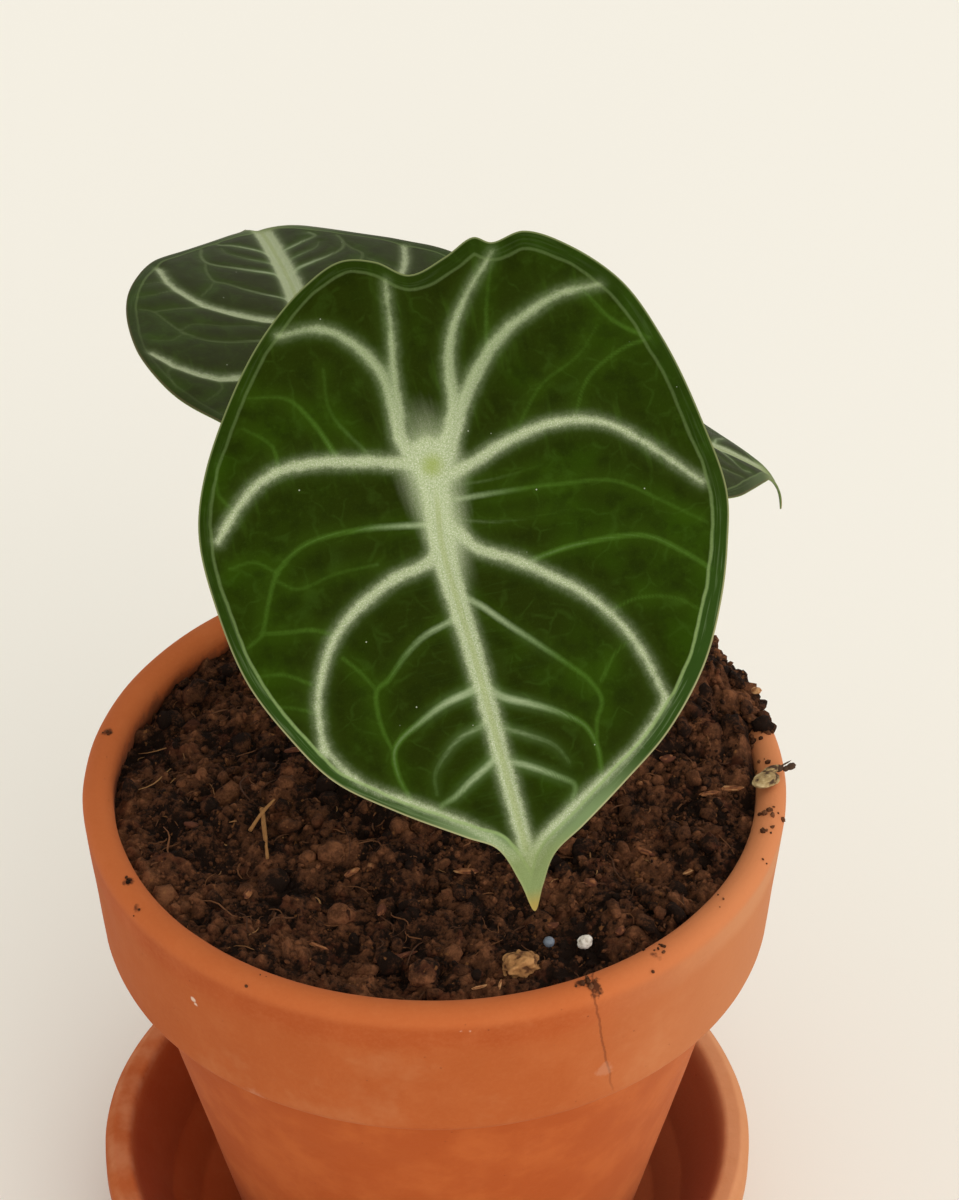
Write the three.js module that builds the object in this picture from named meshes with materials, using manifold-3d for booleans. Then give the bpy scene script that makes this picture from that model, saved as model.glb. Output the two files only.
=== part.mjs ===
// A peltate, dark-leaved aroid in a 13 cm terracotta pot on its saucer.
// Millimetres, +Z up. The origin is the centre of the saucer's flat underside.
import * as THREE from 'three';
import { mergeVertices } from 'three/addons/utils/BufferGeometryUtils.js';
import Module from 'manifold-3d';

const wasm = await Module();
wasm.setup();

// Clearance that touching pieces keep.
const GAP = 0.3;
const MERGE_DISTANCE = 1e-3;
const ROUND_SEGMENTS = 48;

const TERRACOTTA = 0xb05c30;

// Saucer
const SAUCER_RIM_R = 64.4;
const SAUCER_FOOT_R = 53;
const SAUCER_HEIGHT = 25;
const SAUCER_FLOOR = 6;
const SAUCER_WALL = 5;

// Pot, its axis a little to the right of the saucer's
const POT_OFFSET_X = 2.2;
const POT_HEIGHT = 111;
const RIM_R = 65;
const RIM_INNER_R = 59.3;
const LIP_DROP = 4.6;
const COLLAR_HEIGHT = 31;
const COLLAR_FOOT_R = 62.5;
const BODY_TOP_R = 57;
const BODY_FOOT_R = 38.5;
const POT_FLOOR = 7;
const DRAIN_R = 7;

// Soil, its surface given from the rim
const SOIL_CLEAR = 0.7;
const SOIL_EDGE_R = RIM_INNER_R - SOIL_CLEAR;
const SOIL_RINGS = 11;
const SOIL_SPOKES = 44;
const RING_JITTER = 0.35;
const CRUMB_SIZE = 7;
const CRUMB_HEIGHT = 2.2;
const SOIL_LEVEL = -2.6;
const SOIL_HEAP = { x: 42, y: 28, spread: 17.5, height: 12 };
const SOIL_MIDDLE = { spread: 20, height: 1.6 };
const SOIL_HOLLOW = 2;

// Plant
const CORM_R = 10.5;
const CORM_DEPTH = 24;
const CORM_RISE = 2.5;
const PETIOLE_FOOT_R = 3.7;
const PETIOLE_TOP_R = 2.1;
const ROOT_R = 1.5;
const ROOT_STEPS = 5;
const ROOT_SIDES = 6;
const STALK_STEPS = 14;
const STALK_SIDES = 8;
const BLADE_THICKNESS = 0.8;
const RIB_HEIGHT = 1.3;
const QUILT_HEIGHT = 0.9;
const VEIN_SINK = 0.45;
const FULL_SWELL_WIDTH = 12;
const MARGIN_WAVES = 8;
const ROW_STEPS = 6;
const FOLD_WIDTH = 6;
const DRIP_START = -62;
const DRIP_LENGTH = 12;

// The blade's outline from the sinus, down its right side to the drip tip and up its left side.
// The leaf stalk joins at the origin, and the tip points along -Y.
const OUTLINE = [
  [3.3, 30.7], [9.5, 32.3], [14.7, 34.4], [17.4, 32.9], [22.8, 33.5], [29.5, 29.6], [36.7, 22],
  [41, 11.5], [44.2, -3], [45.6, -14.5], [43.6, -23.5], [40.5, -32], [35.5, -41.5], [27.6, -50.5],
  [19, -56.8], [10.9, -62.1], [5.2, -65.6], [2.2, -70.2], [0, -74], [-1.3, -68.8], [-3.6, -62.9],
  [-8.2, -59.9], [-18, -53.5], [-26.9, -46.3], [-32.5, -37.5], [-37.2, -27], [-39.3, -14],
  [-39.2, -2.5], [-36, 7], [-29.5, 17.4], [-21, 27.2], [-13.4, 32.9], [-7, 35.3], [-1.5, 33.9],
];
const TIP_INDEX = 18;

// Where the side veins leave the midrib, and how many rows of points lie before each of them.
const STATIONS = [0, 0, 0, -7, -10, -13, -24.5, -38, -50];
const BETWEEN = [2, 2, 2, 1, 1, 1, 2, 2, 2, 2];
const LAST_STATION = -60;

// Side veins: points on the way, the outline point where they end, and their strength.
const RIGHT_VEINS = [
  { via: [[6, 12], [8.3, 20.8]], end: 3, strength: 0.8 },
  { via: [[11.1, 13.7], [22.3, 21.2]], end: 5.7, strength: 1 },
  { via: [[11.5, 0.5], [20.2, 2.1], [30.7, -1]], end: 9, strength: 1 },
  { via: [[9.9, -6.9], [18.7, -7.6], [32, -12]], end: 9.9, strength: 0.35 },
  { via: [[10.5, -16], [19.3, -17.4], [30.8, -20]], end: 10.7, strength: 0.4 },
  { via: [[10.1, -18.9], [20.2, -26.7], [26.5, -37.4]], end: 13, strength: 1 },
  { via: [[5.2, -27], [12.8, -32.9], [18, -41]], end: 14, strength: 0.4 },
  { via: [[8, -40.7], [13.1, -45]], end: 14.7, strength: 0.7 },
  { via: [[6.5, -53]], end: 15.4, strength: 0.5 },
];
const LEFT_VEINS = [
  { via: [[-2.6, 14], [-1.9, 23]], end: 33.5, strength: 0.4 },
  { via: [[-4.2, 11], [-8.4, 21.5]], end: 30.7, strength: 1 },
  { via: [[-11.3, 3.4], [-21, 5], [-31.4, 0.9]], end: 26.4, strength: 1 },
  { via: [[-13.8, -7.6], [-24, -9]], end: 25.6, strength: 0.4 },
  { via: [[-13, -13], [-23, -16]], end: 24.9, strength: 0 },
  { via: [[-10.1, -17.3], [-21.7, -23.8], [-27, -34]], end: 23.5, strength: 1 },
  { via: [[-9.6, -27.3], [-16.3, -33.3], [-17.7, -42]], end: 22.1, strength: 0.4 },
  { via: [[-9.2, -39.2], [-14, -44]], end: 21.6, strength: 0.7 },
  { via: [[-6.2, -52.6]], end: 21.1, strength: 0.5 },
];

// Each leaf: where its stalk joins from the rim's centre, its across and back directions, its size
// against the outline above, and its bend. The back direction runs from the tip to the sinus.
// The stalk's points are given from the rim's centre too.
const LEAVES = [
  {
    name: 'front',
    colour: 0x2c3d0c,
    joint: [0.6, -33.9, 93],
    across: [0.974, 0.137, 0.178],
    back: [-0.224, 0.594, 0.773],
    size: 1,
    mirrored: false,
    bend: { across: 0.1, along: 0.08, fold: 0.15, twist: 0, wave: 0.8, curl: 10 },
    stalk: [[0, -5.4, -8], [-0.4, -6.5, 12], [-1.2, -8, 46], [-0.6, -13, 74], [0.2, -22.5, 87]],
  },
  {
    name: 'back',
    colour: 0x35401c,
    joint: [-18.7, 25.4, 73.4],
    across: [-0.958, -0.265, 0.113],
    back: [0.258, -0.963, -0.074],
    size: 0.853,
    mirrored: true,
    bend: { across: 0.01, along: 0.274, fold: 0.47, twist: -0.057, wave: 0.5, curl: 75 },
    stalk: [[-4.7, 2.7, -8], [-5.6, 4, 12], [-9.5, 10, 38], [-15, 19, 58], [-18.2, 24, 67]],
  },
  {
    name: 'right',
    colour: 0x39462a,
    joint: [20.4, 35.5, 57.6],
    across: [-0.127, 0.968, -0.217],
    back: [-0.984, -0.095, 0.151],
    size: 0.663,
    mirrored: true,
    bend: { across: 0.05, along: 0.36, fold: -1.14, twist: 0.013, wave: 0.4, curl: 80 },
    stalk: [[4.7, 2.7, -8], [6, 4.6, 10], [10.5, 13.5, 31], [16.5, 27, 45], [19.6, 33.6, 51]],
  },
];

// Roots: the way each one leaves the corm, and how far out and down it reaches.
const ROOTS = [
  { angle: 20, reach: 34, drop: 42 },
  { angle: 95, reach: 30, drop: 60 },
  { angle: 165, reach: 36, drop: 38 },
  { angle: 238, reach: 28, drop: 64 },
  { angle: 310, reach: 35, drop: 46 },
];

// Loose bits that lie on the soil: place from the pot's axis, half sizes and turn in degrees.
const BITS = [
  { name: 'bark_chunk', colour: 0x9a6a3c, at: [15.4, -49.9], half: [3.3, 2.7, 2.2], turn: 20 },
  { name: 'perlite_grain', colour: 0xd9d2c4, at: [26.7, -44], half: [1.5, 1.2, 1.1], turn: 50 },
  { name: 'soil_clod', colour: 0x4a2d1b, at: [-1.4, -52], half: [3.2, 2.6, 2.2], turn: 70 },
];
const TWIG = { length: 13, radius: 0.7, lift: 1.1, at: [-30.6, -16.5], turn: -83 };
// The chip lies across the rim, so its place is an angle and a radius.
const RIM_CHIP = { half: [5, 1.9, 1], angle: -2.6, radius: 62.3, lift: 0.35, turn: 39 };

// A closed mesh becomes a solid once its shared vertices are merged.
function toSolid(geometry) {
  const closed = merged(geometry.clone());
  return new wasm.Manifold(new wasm.Mesh({
    numProp: 3,
    vertProperties: new Float32Array(closed.attributes.position.array),
    triVerts: new Uint32Array(closed.index.array),
  }));
}

function toGeometry(solid) {
  const mesh = solid.getMesh();
  return indexed(Array.from(mesh.vertProperties), Array.from(mesh.triVerts));
}

function indexed(positions, indices) {
  const geometry = new THREE.BufferGeometry();
  geometry.setAttribute('position', new THREE.Float32BufferAttribute(positions, 3));
  geometry.setIndex(indices);
  geometry.computeVertexNormals();
  return geometry;
}

// Joins the vertices that share a place and drops the triangles that this turns into lines.
function merged(geometry) {
  geometry.deleteAttribute('normal');
  geometry.deleteAttribute('uv');
  const result = mergeVertices(geometry, MERGE_DISTANCE);
  const old = result.index.array;
  const kept = [];
  for (let i = 0; i < old.length; i += 3) {
    const [a, b, c] = [old[i], old[i + 1], old[i + 2]];
    if (a !== b && b !== c && a !== c) kept.push(a, b, c);
  }
  result.setIndex(kept);
  result.computeVertexNormals();
  return result;
}

// A body turned about Z from a profile of [radius, height] points that closes on itself or on the axis.
function turned(profile) {
  const points = profile.map(([radius, height]) => new THREE.Vector2(radius, height));
  return merged(new THREE.LatheGeometry(points, ROUND_SEGMENTS).rotateX(Math.PI / 2));
}

// Points of a round edge about a centre, between two angles in degrees.
function arc(centre, radius, from, to, steps) {
  return Array.from({ length: steps + 1 }, (_, i) => {
    const angle = THREE.MathUtils.degToRad(from + ((to - from) * i) / steps);
    return [centre[0] + radius * Math.cos(angle), centre[1] + radius * Math.sin(angle)];
  });
}

// A solid stick along a curve whose radius follows a formula of the way along it.
function taperedStick(points, radiusAt, sides, steps) {
  const curve = new THREE.CatmullRomCurve3(points);
  const frames = curve.computeFrenetFrames(steps, false);
  const positions = [];
  const indices = [];
  for (let i = 0; i <= steps; i++) {
    const centre = curve.getPointAt(i / steps);
    const radius = radiusAt(i / steps);
    for (let k = 0; k < sides; k++) {
      const angle = (2 * Math.PI * k) / sides;
      const rim = centre.clone()
        .addScaledVector(frames.normals[i], radius * Math.cos(angle))
        .addScaledVector(frames.binormals[i], radius * Math.sin(angle));
      positions.push(...rim.toArray());
    }
  }
  for (let i = 0; i < steps; i++) {
    for (let k = 0; k < sides; k++) {
      const a = i * sides + k;
      const b = i * sides + ((k + 1) % sides);
      indices.push(a, b, b + sides, a, b + sides, a + sides);
    }
  }
  const last = steps * sides;
  for (let k = 1; k < sides - 1; k++) {
    indices.push(0, k + 1, k, last, last + k, last + k + 1);
  }
  return indexed(positions, indices);
}

// Smooth noise between -1 and 1, the same each time.
function lattice(i, j) {
  const value = Math.sin(i * 127.1 + j * 311.7 + 17.3) * 43758.5453;
  return 2 * (value - Math.floor(value)) - 1;
}

function noise(x, y) {
  const i = Math.floor(x);
  const j = Math.floor(y);
  const u = THREE.MathUtils.smoothstep(x - i, 0, 1);
  const v = THREE.MathUtils.smoothstep(y - j, 0, 1);
  const low = THREE.MathUtils.lerp(lattice(i, j), lattice(i + 1, j), u);
  const high = THREE.MathUtils.lerp(lattice(i, j + 1), lattice(i + 1, j + 1), u);
  return THREE.MathUtils.lerp(low, high, v);
}

// Saucer: a flared dish with a rounded lip.
function saucerGeometry() {
  const lip = SAUCER_WALL / 2;
  const lipCentre = [SAUCER_RIM_R - lip, SAUCER_HEIGHT - lip];
  const innerFoot = SAUCER_FOOT_R - SAUCER_WALL;
  return turned([
    [0, 0],
    [SAUCER_FOOT_R - 1.5, 0],
    [SAUCER_FOOT_R, 1.5],
    [SAUCER_RIM_R - 2.2, SAUCER_HEIGHT - 8.5],
    ...arc(lipCentre, lip, -20, 200, 5),
    [innerFoot + 3.5, SAUCER_FLOOR + 5],
    [innerFoot + 1, SAUCER_FLOOR + 1.6],
    [innerFoot - 3, SAUCER_FLOOR],
    [0, SAUCER_FLOOR],
  ]);
}

// Heights in the pot are from its foot. Its wall steps in below the collar, inside as outside.
const COLLAR_Z = POT_HEIGHT - COLLAR_HEIGHT;
const WALL_STEPS = [
  [RIM_INNER_R, POT_HEIGHT - 3],
  [RIM_INNER_R - 1.5, COLLAR_Z + 2],
  [BODY_TOP_R - 5.5, COLLAR_Z - 6],
  [BODY_FOOT_R - 5, POT_FLOOR + 2],
  [BODY_FOOT_R - 8, POT_FLOOR],
];

function potGeometry() {
  const lip = (RIM_R - RIM_INNER_R) / 2;
  const lipCentre = [RIM_R - lip, POT_HEIGHT - lip];
  return turned([
    [DRAIN_R, 0],
    [BODY_FOOT_R - 1.5, 0],
    [BODY_FOOT_R, 1.5],
    [BODY_TOP_R, COLLAR_Z - 2],
    [BODY_TOP_R + 0.6, COLLAR_Z],
    [COLLAR_FOOT_R - 1.5, COLLAR_Z],
    [COLLAR_FOOT_R, COLLAR_Z + 1.5],
    [RIM_R, POT_HEIGHT - LIP_DROP],
    ...arc(lipCentre, lip, 20, 160, 4),
    ...WALL_STEPS,
    [DRAIN_R, POT_FLOOR],
    [DRAIN_R, 0],
  ]);
}

// Height of the soil over the rim: low at the back left, level in front, heaped at the back right.
function soilHeight(x, y) {
  const heap = SOIL_HEAP.height * bump(x - SOIL_HEAP.x, y - SOIL_HEAP.y, SOIL_HEAP.spread);
  const hollow = SOIL_HOLLOW * THREE.MathUtils.smoothstep(0.6 * y - x, 20, 70);
  const middle = SOIL_MIDDLE.height * bump(x, y, SOIL_MIDDLE.spread);
  const [u, v] = [x / CRUMB_SIZE, y / CRUMB_SIZE];
  const lumps = noise(u, v) + 0.6 * noise(2 * u + 9, 2 * v);
  return SOIL_LEVEL + heap - hollow + middle + 0.5 * CRUMB_HEIGHT * lumps;
}

function bump(x, y, spread) {
  return Math.exp(-(x * x + y * y) / (2 * spread * spread));
}

function soilGeometry() {
  const plugR = DRAIN_R - GAP;
  const below = WALL_STEPS.slice(1).map(([radius, height]) => [radius - SOIL_CLEAR, height + GAP]);
  const profile = [...below, [plugR, POT_FLOOR + GAP], [plugR, GAP]];
  const positions = [0, 0, soilHeight(0, 0)];
  const indices = [];
  const ring = (radiusOf, heightOf) => {
    for (let k = 0; k < SOIL_SPOKES; k++) {
      const angle = (2 * Math.PI * k) / SOIL_SPOKES;
      const radius = radiusOf(k);
      const [x, y] = [radius * Math.cos(angle), radius * Math.sin(angle)];
      positions.push(x, y, heightOf(x, y));
    }
  };
  for (let i = 1; i <= SOIL_RINGS; i++) {
    const jitter = i < SOIL_RINGS ? RING_JITTER : 0;
    ring((k) => (SOIL_EDGE_R * (i + jitter * lattice(i, k))) / SOIL_RINGS, soilHeight);
  }
  for (const [radius, height] of profile) {
    ring(() => radius, () => height - POT_HEIGHT);
  }
  positions.push(0, 0, GAP - POT_HEIGHT);
  const rings = SOIL_RINGS + profile.length;
  const bottom = 1 + rings * SOIL_SPOKES;
  for (let k = 0; k < SOIL_SPOKES; k++) {
    const next = (k + 1) % SOIL_SPOKES;
    indices.push(0, 1 + k, 1 + next);
    for (let i = 0; i < rings - 1; i++) {
      const a = 1 + i * SOIL_SPOKES + k;
      const b = 1 + i * SOIL_SPOKES + next;
      indices.push(a, a + SOIL_SPOKES, b + SOIL_SPOKES, a, b + SOIL_SPOKES, b);
    }
    indices.push(bottom, bottom - SOIL_SPOKES + next, bottom - SOIL_SPOKES + k);
  }
  return indexed(positions, indices);
}

// Corm and roots from the rim's centre, grown by the given clearance.
function cormGeometry(grow) {
  const foot = 5.5 + grow;
  return turned([
    [0, -CORM_DEPTH - grow],
    [foot, -CORM_DEPTH - grow],
    [CORM_R - 1 + grow, -CORM_DEPTH * 0.55],
    [CORM_R + grow, -4],
    [CORM_R - 0.6 + grow, CORM_RISE - 2 + grow],
    [CORM_R - 3 + grow, CORM_RISE + grow],
    [0, CORM_RISE + grow],
  ]);
}

function rootGeometry(root, grow) {
  const angle = THREE.MathUtils.degToRad(root.angle);
  const at = (out, down) => new THREE.Vector3(out * Math.cos(angle), out * Math.sin(angle), -down);
  const points = [at(3, 15), at(root.reach * 0.5, 22), at(root.reach, root.drop + grow)];
  return taperedStick(points, (t) => ROOT_R * (1 - 0.5 * t) + grow, ROOT_SIDES, ROOT_STEPS);
}

function cormWithRoots(grow) {
  let solid = toSolid(cormGeometry(grow));
  for (const root of ROOTS) {
    solid = solid.add(toSolid(rootGeometry(root, grow)));
  }
  return solid;
}

// Leaf blade in its own plane: rows of points run from the midrib to the outline, along the side
// veins and between them. The veins are sunk above and stand out as ribs below.
const outlineCurve = new THREE.CatmullRomCurve3(
  OUTLINE.map(([x, y]) => new THREE.Vector3(x, y, 0)), true, 'centripetal');

function outlinePoint(index) {
  const wrapped = ((index % OUTLINE.length) + OUTLINE.length) % OUTLINE.length;
  const point = outlineCurve.getPoint(wrapped / OUTLINE.length);
  return new THREE.Vector2(point.x, point.y);
}

function veinRow(station, via, end, strength) {
  const stops = [[0, station], ...via].map(([x, y]) => new THREE.Vector2(x, y));
  const curve = new THREE.SplineCurve([...stops, outlinePoint(end)]);
  return { station, end, strength, crest: 0, points: curve.getSpacedPoints(ROW_STEPS) };
}

function rowBetween(a, b, share) {
  const end = THREE.MathUtils.lerp(a.end, b.end, share);
  const straight = a.points[ROW_STEPS].clone().lerp(b.points[ROW_STEPS], share);
  const bow = outlinePoint(end).sub(straight);
  const points = a.points.map((point, j) => {
    const t = j / ROW_STEPS;
    return point.clone().lerp(b.points[j], share).addScaledVector(bow, t * t);
  });
  const width = a.points[ROW_STEPS - 2].distanceTo(b.points[ROW_STEPS - 2]);
  return {
    station: THREE.MathUtils.lerp(a.station, b.station, share),
    end,
    strength: 0,
    crest: Math.min(1, width / FULL_SWELL_WIDTH) * Math.sin(Math.PI * share) ** 0.6,
    points,
  };
}

function sideRows(veins, firstEnd, lastEnd) {
  const axis = veinRow(0, [], firstEnd, 0.2);
  const tip = veinRow(LAST_STATION, [[0.4, -66]], lastEnd, 0.8);
  const main = [axis, ...veins.map((v, i) => veinRow(STATIONS[i], v.via, v.end, v.strength)), tip];
  const rows = [axis];
  for (let i = 1; i < main.length; i++) {
    const count = BETWEEN[i - 1];
    for (let k = 1; k <= count; k++) {
      rows.push(rowBetween(main[i - 1], main[i], k / (count + 1)));
    }
    rows.push(main[i]);
  }
  return rows;
}

function bladeRows() {
  const right = sideRows(RIGHT_VEINS, 0, TIP_INDEX);
  const left = sideRows(LEFT_VEINS, OUTLINE.length, TIP_INDEX);
  return [...right, ...left.reverse().slice(1, -1)];
}

// A point of the bent blade, off its plane by a height, and the way that its upper face looks there.
// The drip tip curls down round an arc.
function bladePoint(x, y, height, bend) {
  const down = Math.min(y, 0);
  const arch = (-bend.across * x * x - bend.along * down * down + bend.twist * x * y) / 100;
  const fold = (bend.fold * (Math.hypot(x, FOLD_WIDTH) - FOLD_WIDTH)) / 10;
  const past = Math.max(0, DRIP_START - y);
  const radius = DRIP_LENGTH / THREE.MathUtils.degToRad(bend.curl);
  const turn = past / radius;
  const up = new THREE.Vector3(0, -Math.sin(turn), Math.cos(turn));
  const point = new THREE.Vector3(x, y + past - radius * Math.sin(turn), arch + fold)
    .addScaledVector(new THREE.Vector3(0, 0, -1), radius * (1 - Math.cos(turn)))
    .addScaledVector(up, height);
  return { point, up };
}

function bladeGeometry(bend) {
  const rows = bladeRows();
  const positions = [];
  const indices = [];
  const stride = 2 * (ROW_STEPS + 1);
  for (const row of rows) {
    const { x: endX, y: endY } = row.points[ROW_STEPS];
    const ripple = bend.wave * Math.sin(MARGIN_WAVES * Math.atan2(endY, endX) + 1);
    for (let j = 0; j <= ROW_STEPS; j++) {
      const t = j / ROW_STEPS;
      const { x, y } = row.points[j];
      const swell = Math.sin(Math.PI * t) ** 0.7;
      const midrib = j === 0 ? 1 - Math.abs(y) / 90 : 0;
      const relief = QUILT_HEIGHT * row.crest * swell - VEIN_SINK * (row.strength * swell + midrib);
      const rib = RIB_HEIGHT * (row.strength * (1 - t) ** 0.7 * Math.min(1, 3 * t) + 1.2 * midrib);
      const { point, up } = bladePoint(x, y, relief + ripple * t ** 4, bend);
      positions.push(...point.toArray());
      positions.push(...point.addScaledVector(up, -BLADE_THICKNESS - rib).toArray());
    }
  }
  rows.forEach((_, i) => {
    const a = i * stride;
    const b = ((i + 1) % rows.length) * stride;
    for (let j = 0; j < stride - 2; j += 2) {
      indices.push(a + j, b + j, b + j + 2, a + j, b + j + 2, a + j + 2);
      indices.push(a + j + 1, b + j + 3, b + j + 1, a + j + 1, a + j + 3, b + j + 3);
    }
    const rim = stride - 2;
    indices.push(a + rim, b + rim, b + rim + 1, a + rim, b + rim + 1, a + rim + 1);
  });
  return merged(indexed(positions, indices));
}

// Places that are given from the rim's centre, in the pot's own height.
function fromRim([x, y, z]) {
  return new THREE.Vector3(x, y, z + POT_HEIGHT);
}

function leafFrame(leaf) {
  const across = new THREE.Vector3(...leaf.across).normalize();
  const back = new THREE.Vector3(...leaf.back);
  back.addScaledVector(across, -back.dot(across)).normalize();
  return { across, back, up: across.clone().cross(back) };
}

function leafMatrix(leaf) {
  const { across, back, up } = leafFrame(leaf);
  return new THREE.Matrix4()
    .makeBasis(across, back, up)
    .scale(new THREE.Vector3(leaf.size, leaf.size, leaf.size))
    .setPosition(fromRim(leaf.joint));
}

function leafBlade(leaf) {
  const geometry = bladeGeometry(leaf.bend);
  if (leaf.mirrored) {
    geometry.applyMatrix4(new THREE.Matrix4().makeScale(-1, 1, 1));
    geometry.index.array.reverse();
    geometry.computeVertexNormals();
  }
  return geometry;
}

// The stalk ends square to the blade, just short of the midrib's rib.
function stalkPoints(leaf) {
  const { up } = leafFrame(leaf);
  const depth = (BLADE_THICKNESS + RIB_HEIGHT * 1.2 + VEIN_SINK) * leaf.size + GAP;
  const end = new THREE.Vector3(...leaf.joint).addScaledVector(up, -depth);
  const approach = end.clone().addScaledVector(up, -2.5);
  return [...leaf.stalk.map((p) => new THREE.Vector3(...p)), approach, end];
}

// A smaller leaf has a thinner stalk.
function stalkGeometry(leaf, grow) {
  const share = 0.75 + 0.25 * leaf.size;
  const points = stalkPoints(leaf);
  points[0].z -= grow;
  const radius = (t) => {
    return share * THREE.MathUtils.lerp(PETIOLE_FOOT_R, PETIOLE_TOP_R, Math.min(1, t * 1.25)) + grow;
  };
  return taperedStick(points, radius, STALK_SIDES, STALK_STEPS);
}

// A broken, many-sided bit.
function bitGeometry(half, grow, seed) {
  const geometry = new THREE.IcosahedronGeometry(1, 1);
  const position = geometry.attributes.position;
  for (let i = 0; i < position.count; i++) {
    const v = new THREE.Vector3().fromBufferAttribute(position, i);
    const rough = 1 + 0.16 * noise(v.x * 2.1 + seed, v.y * 2.1 + v.z * 1.7);
    v.set(v.x * half[0] * rough, v.y * half[1] * rough, v.z * half[2] * rough);
    v.addScaledVector(v.clone().normalize(), grow);
    position.setXYZ(i, v.x, v.y, v.z);
  }
  return merged(geometry);
}

function placed(geometry, x, y, z, turn) {
  return geometry.rotateZ(THREE.MathUtils.degToRad(turn)).translate(x, y, z);
}

function bitPlace(bit, grow) {
  const [x, y] = bit.at;
  const z = soilHeight(x, y) + bit.half[2] * 0.35;
  return placed(bitGeometry(bit.half, grow, bit.turn), x, y, z, bit.turn);
}

function twigPlace(grow) {
  const half = TWIG.length / 2 + grow;
  const points = [[-half, 0, 0.4], [0, 0.9, 0], [half, 0, 0.9]].map((p) => new THREE.Vector3(...p));
  const [x, y] = TWIG.at;
  const stick = taperedStick(points, (t) => TWIG.radius * (1 - 0.35 * t) + grow, 6, 6);
  return placed(stick, x, y, soilHeight(x, y) + TWIG.lift, TWIG.turn);
}

function rimChipPlace(grow) {
  const angle = THREE.MathUtils.degToRad(RIM_CHIP.angle);
  const [x, y] = [RIM_CHIP.radius * Math.cos(angle), RIM_CHIP.radius * Math.sin(angle)];
  const z = RIM_CHIP.half[2] + RIM_CHIP.lift;
  return placed(bitGeometry(RIM_CHIP.half, grow, 3), x, y, z, RIM_CHIP.turn);
}

const part = new THREE.Group();
const pottedPlant = new THREE.Group();
pottedPlant.position.set(POT_OFFSET_X, 0, SAUCER_FLOOR);
part.add(pottedPlant);
const rimGroup = new THREE.Group();
rimGroup.position.z = POT_HEIGHT;
pottedPlant.add(rimGroup);

function add(parent, name, geometry, color, roughness) {
  const material = new THREE.MeshStandardMaterial({ color, roughness, metalness: 0, flatShading: true });
  const mesh = new THREE.Mesh(geometry, material);
  mesh.name = name;
  parent.add(mesh);
  return mesh;
}

add(part, 'saucer', saucerGeometry(), TERRACOTTA, 0.85);
add(pottedPlant, 'pot', potGeometry(), TERRACOTTA, 0.85);

let soil = toSolid(soilGeometry()).subtract(cormWithRoots(GAP));
for (const bit of BITS) {
  soil = soil.subtract(toSolid(bitPlace(bit, GAP)));
  add(rimGroup, bit.name, bitPlace(bit, 0), bit.colour, 0.9);
}
soil = soil.subtract(toSolid(twigPlace(GAP)));
soil = soil.subtract(toSolid(rimChipPlace(GAP)));
add(rimGroup, 'soil', toGeometry(soil), 0x3c2416, 1);
add(rimGroup, 'twig', twigPlace(0), 0xa9743f, 0.9);
add(rimGroup, 'rim_chip', rimChipPlace(0), 0xb89a6c, 0.9);

let corm = cormWithRoots(0);
for (const leaf of LEAVES) {
  corm = corm.subtract(toSolid(stalkGeometry(leaf, GAP)));
  add(rimGroup, `petiole_${leaf.name}`, stalkGeometry(leaf, 0), 0x5f7a35, 0.6);
  const blade = add(pottedPlant, `blade_${leaf.name}`, leafBlade(leaf), leaf.colour, 0.55);
  leafMatrix(leaf).decompose(blade.position, blade.quaternion, blade.scale);
}
add(rimGroup, 'corm', toGeometry(corm), 0x6a5a3a, 0.85);

export default part;
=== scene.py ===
import math
from contextlib import contextmanager

import bmesh
import bpy
import numpy as np
from bpy.props import FloatProperty, FloatVectorProperty, IntProperty, PointerProperty
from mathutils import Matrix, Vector, noise


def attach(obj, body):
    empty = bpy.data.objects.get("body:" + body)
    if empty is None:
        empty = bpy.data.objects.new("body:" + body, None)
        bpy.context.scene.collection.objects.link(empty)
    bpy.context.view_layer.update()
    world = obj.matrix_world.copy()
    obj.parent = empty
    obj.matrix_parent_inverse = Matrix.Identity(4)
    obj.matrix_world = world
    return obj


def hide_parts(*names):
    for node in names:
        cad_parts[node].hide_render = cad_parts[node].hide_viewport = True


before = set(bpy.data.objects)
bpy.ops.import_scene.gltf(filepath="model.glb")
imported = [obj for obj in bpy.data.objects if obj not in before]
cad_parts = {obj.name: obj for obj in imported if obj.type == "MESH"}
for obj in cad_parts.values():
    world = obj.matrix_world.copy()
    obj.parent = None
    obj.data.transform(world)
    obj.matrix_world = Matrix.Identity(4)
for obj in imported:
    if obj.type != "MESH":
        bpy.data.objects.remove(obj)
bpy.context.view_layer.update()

bl_info = {
    "name": "Potted alocasia",
    "version": (1, 0, 0),
    "blender": (4, 5, 0),
    "location": "View3D > Sidebar > Alocasia",
    "description": "Dark-leaved alocasia in a terracotta pot on its saucer, built round the packed model",
    "category": "Add Mesh",
}

# Lengths below are in millimetres, and heights are from the pot's rim unless a name says otherwise.
MM = 0.001
POT_X = 2.2
POT_FOOT_Z = 6.0
POT_HEIGHT = 111.0
RIM_CENTRE = np.array([POT_X, 0.0, POT_FOOT_Z + POT_HEIGHT])
LIP_R = 62.15
LIP_ROUND = 2.85
WALL_R = 59.3

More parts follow.
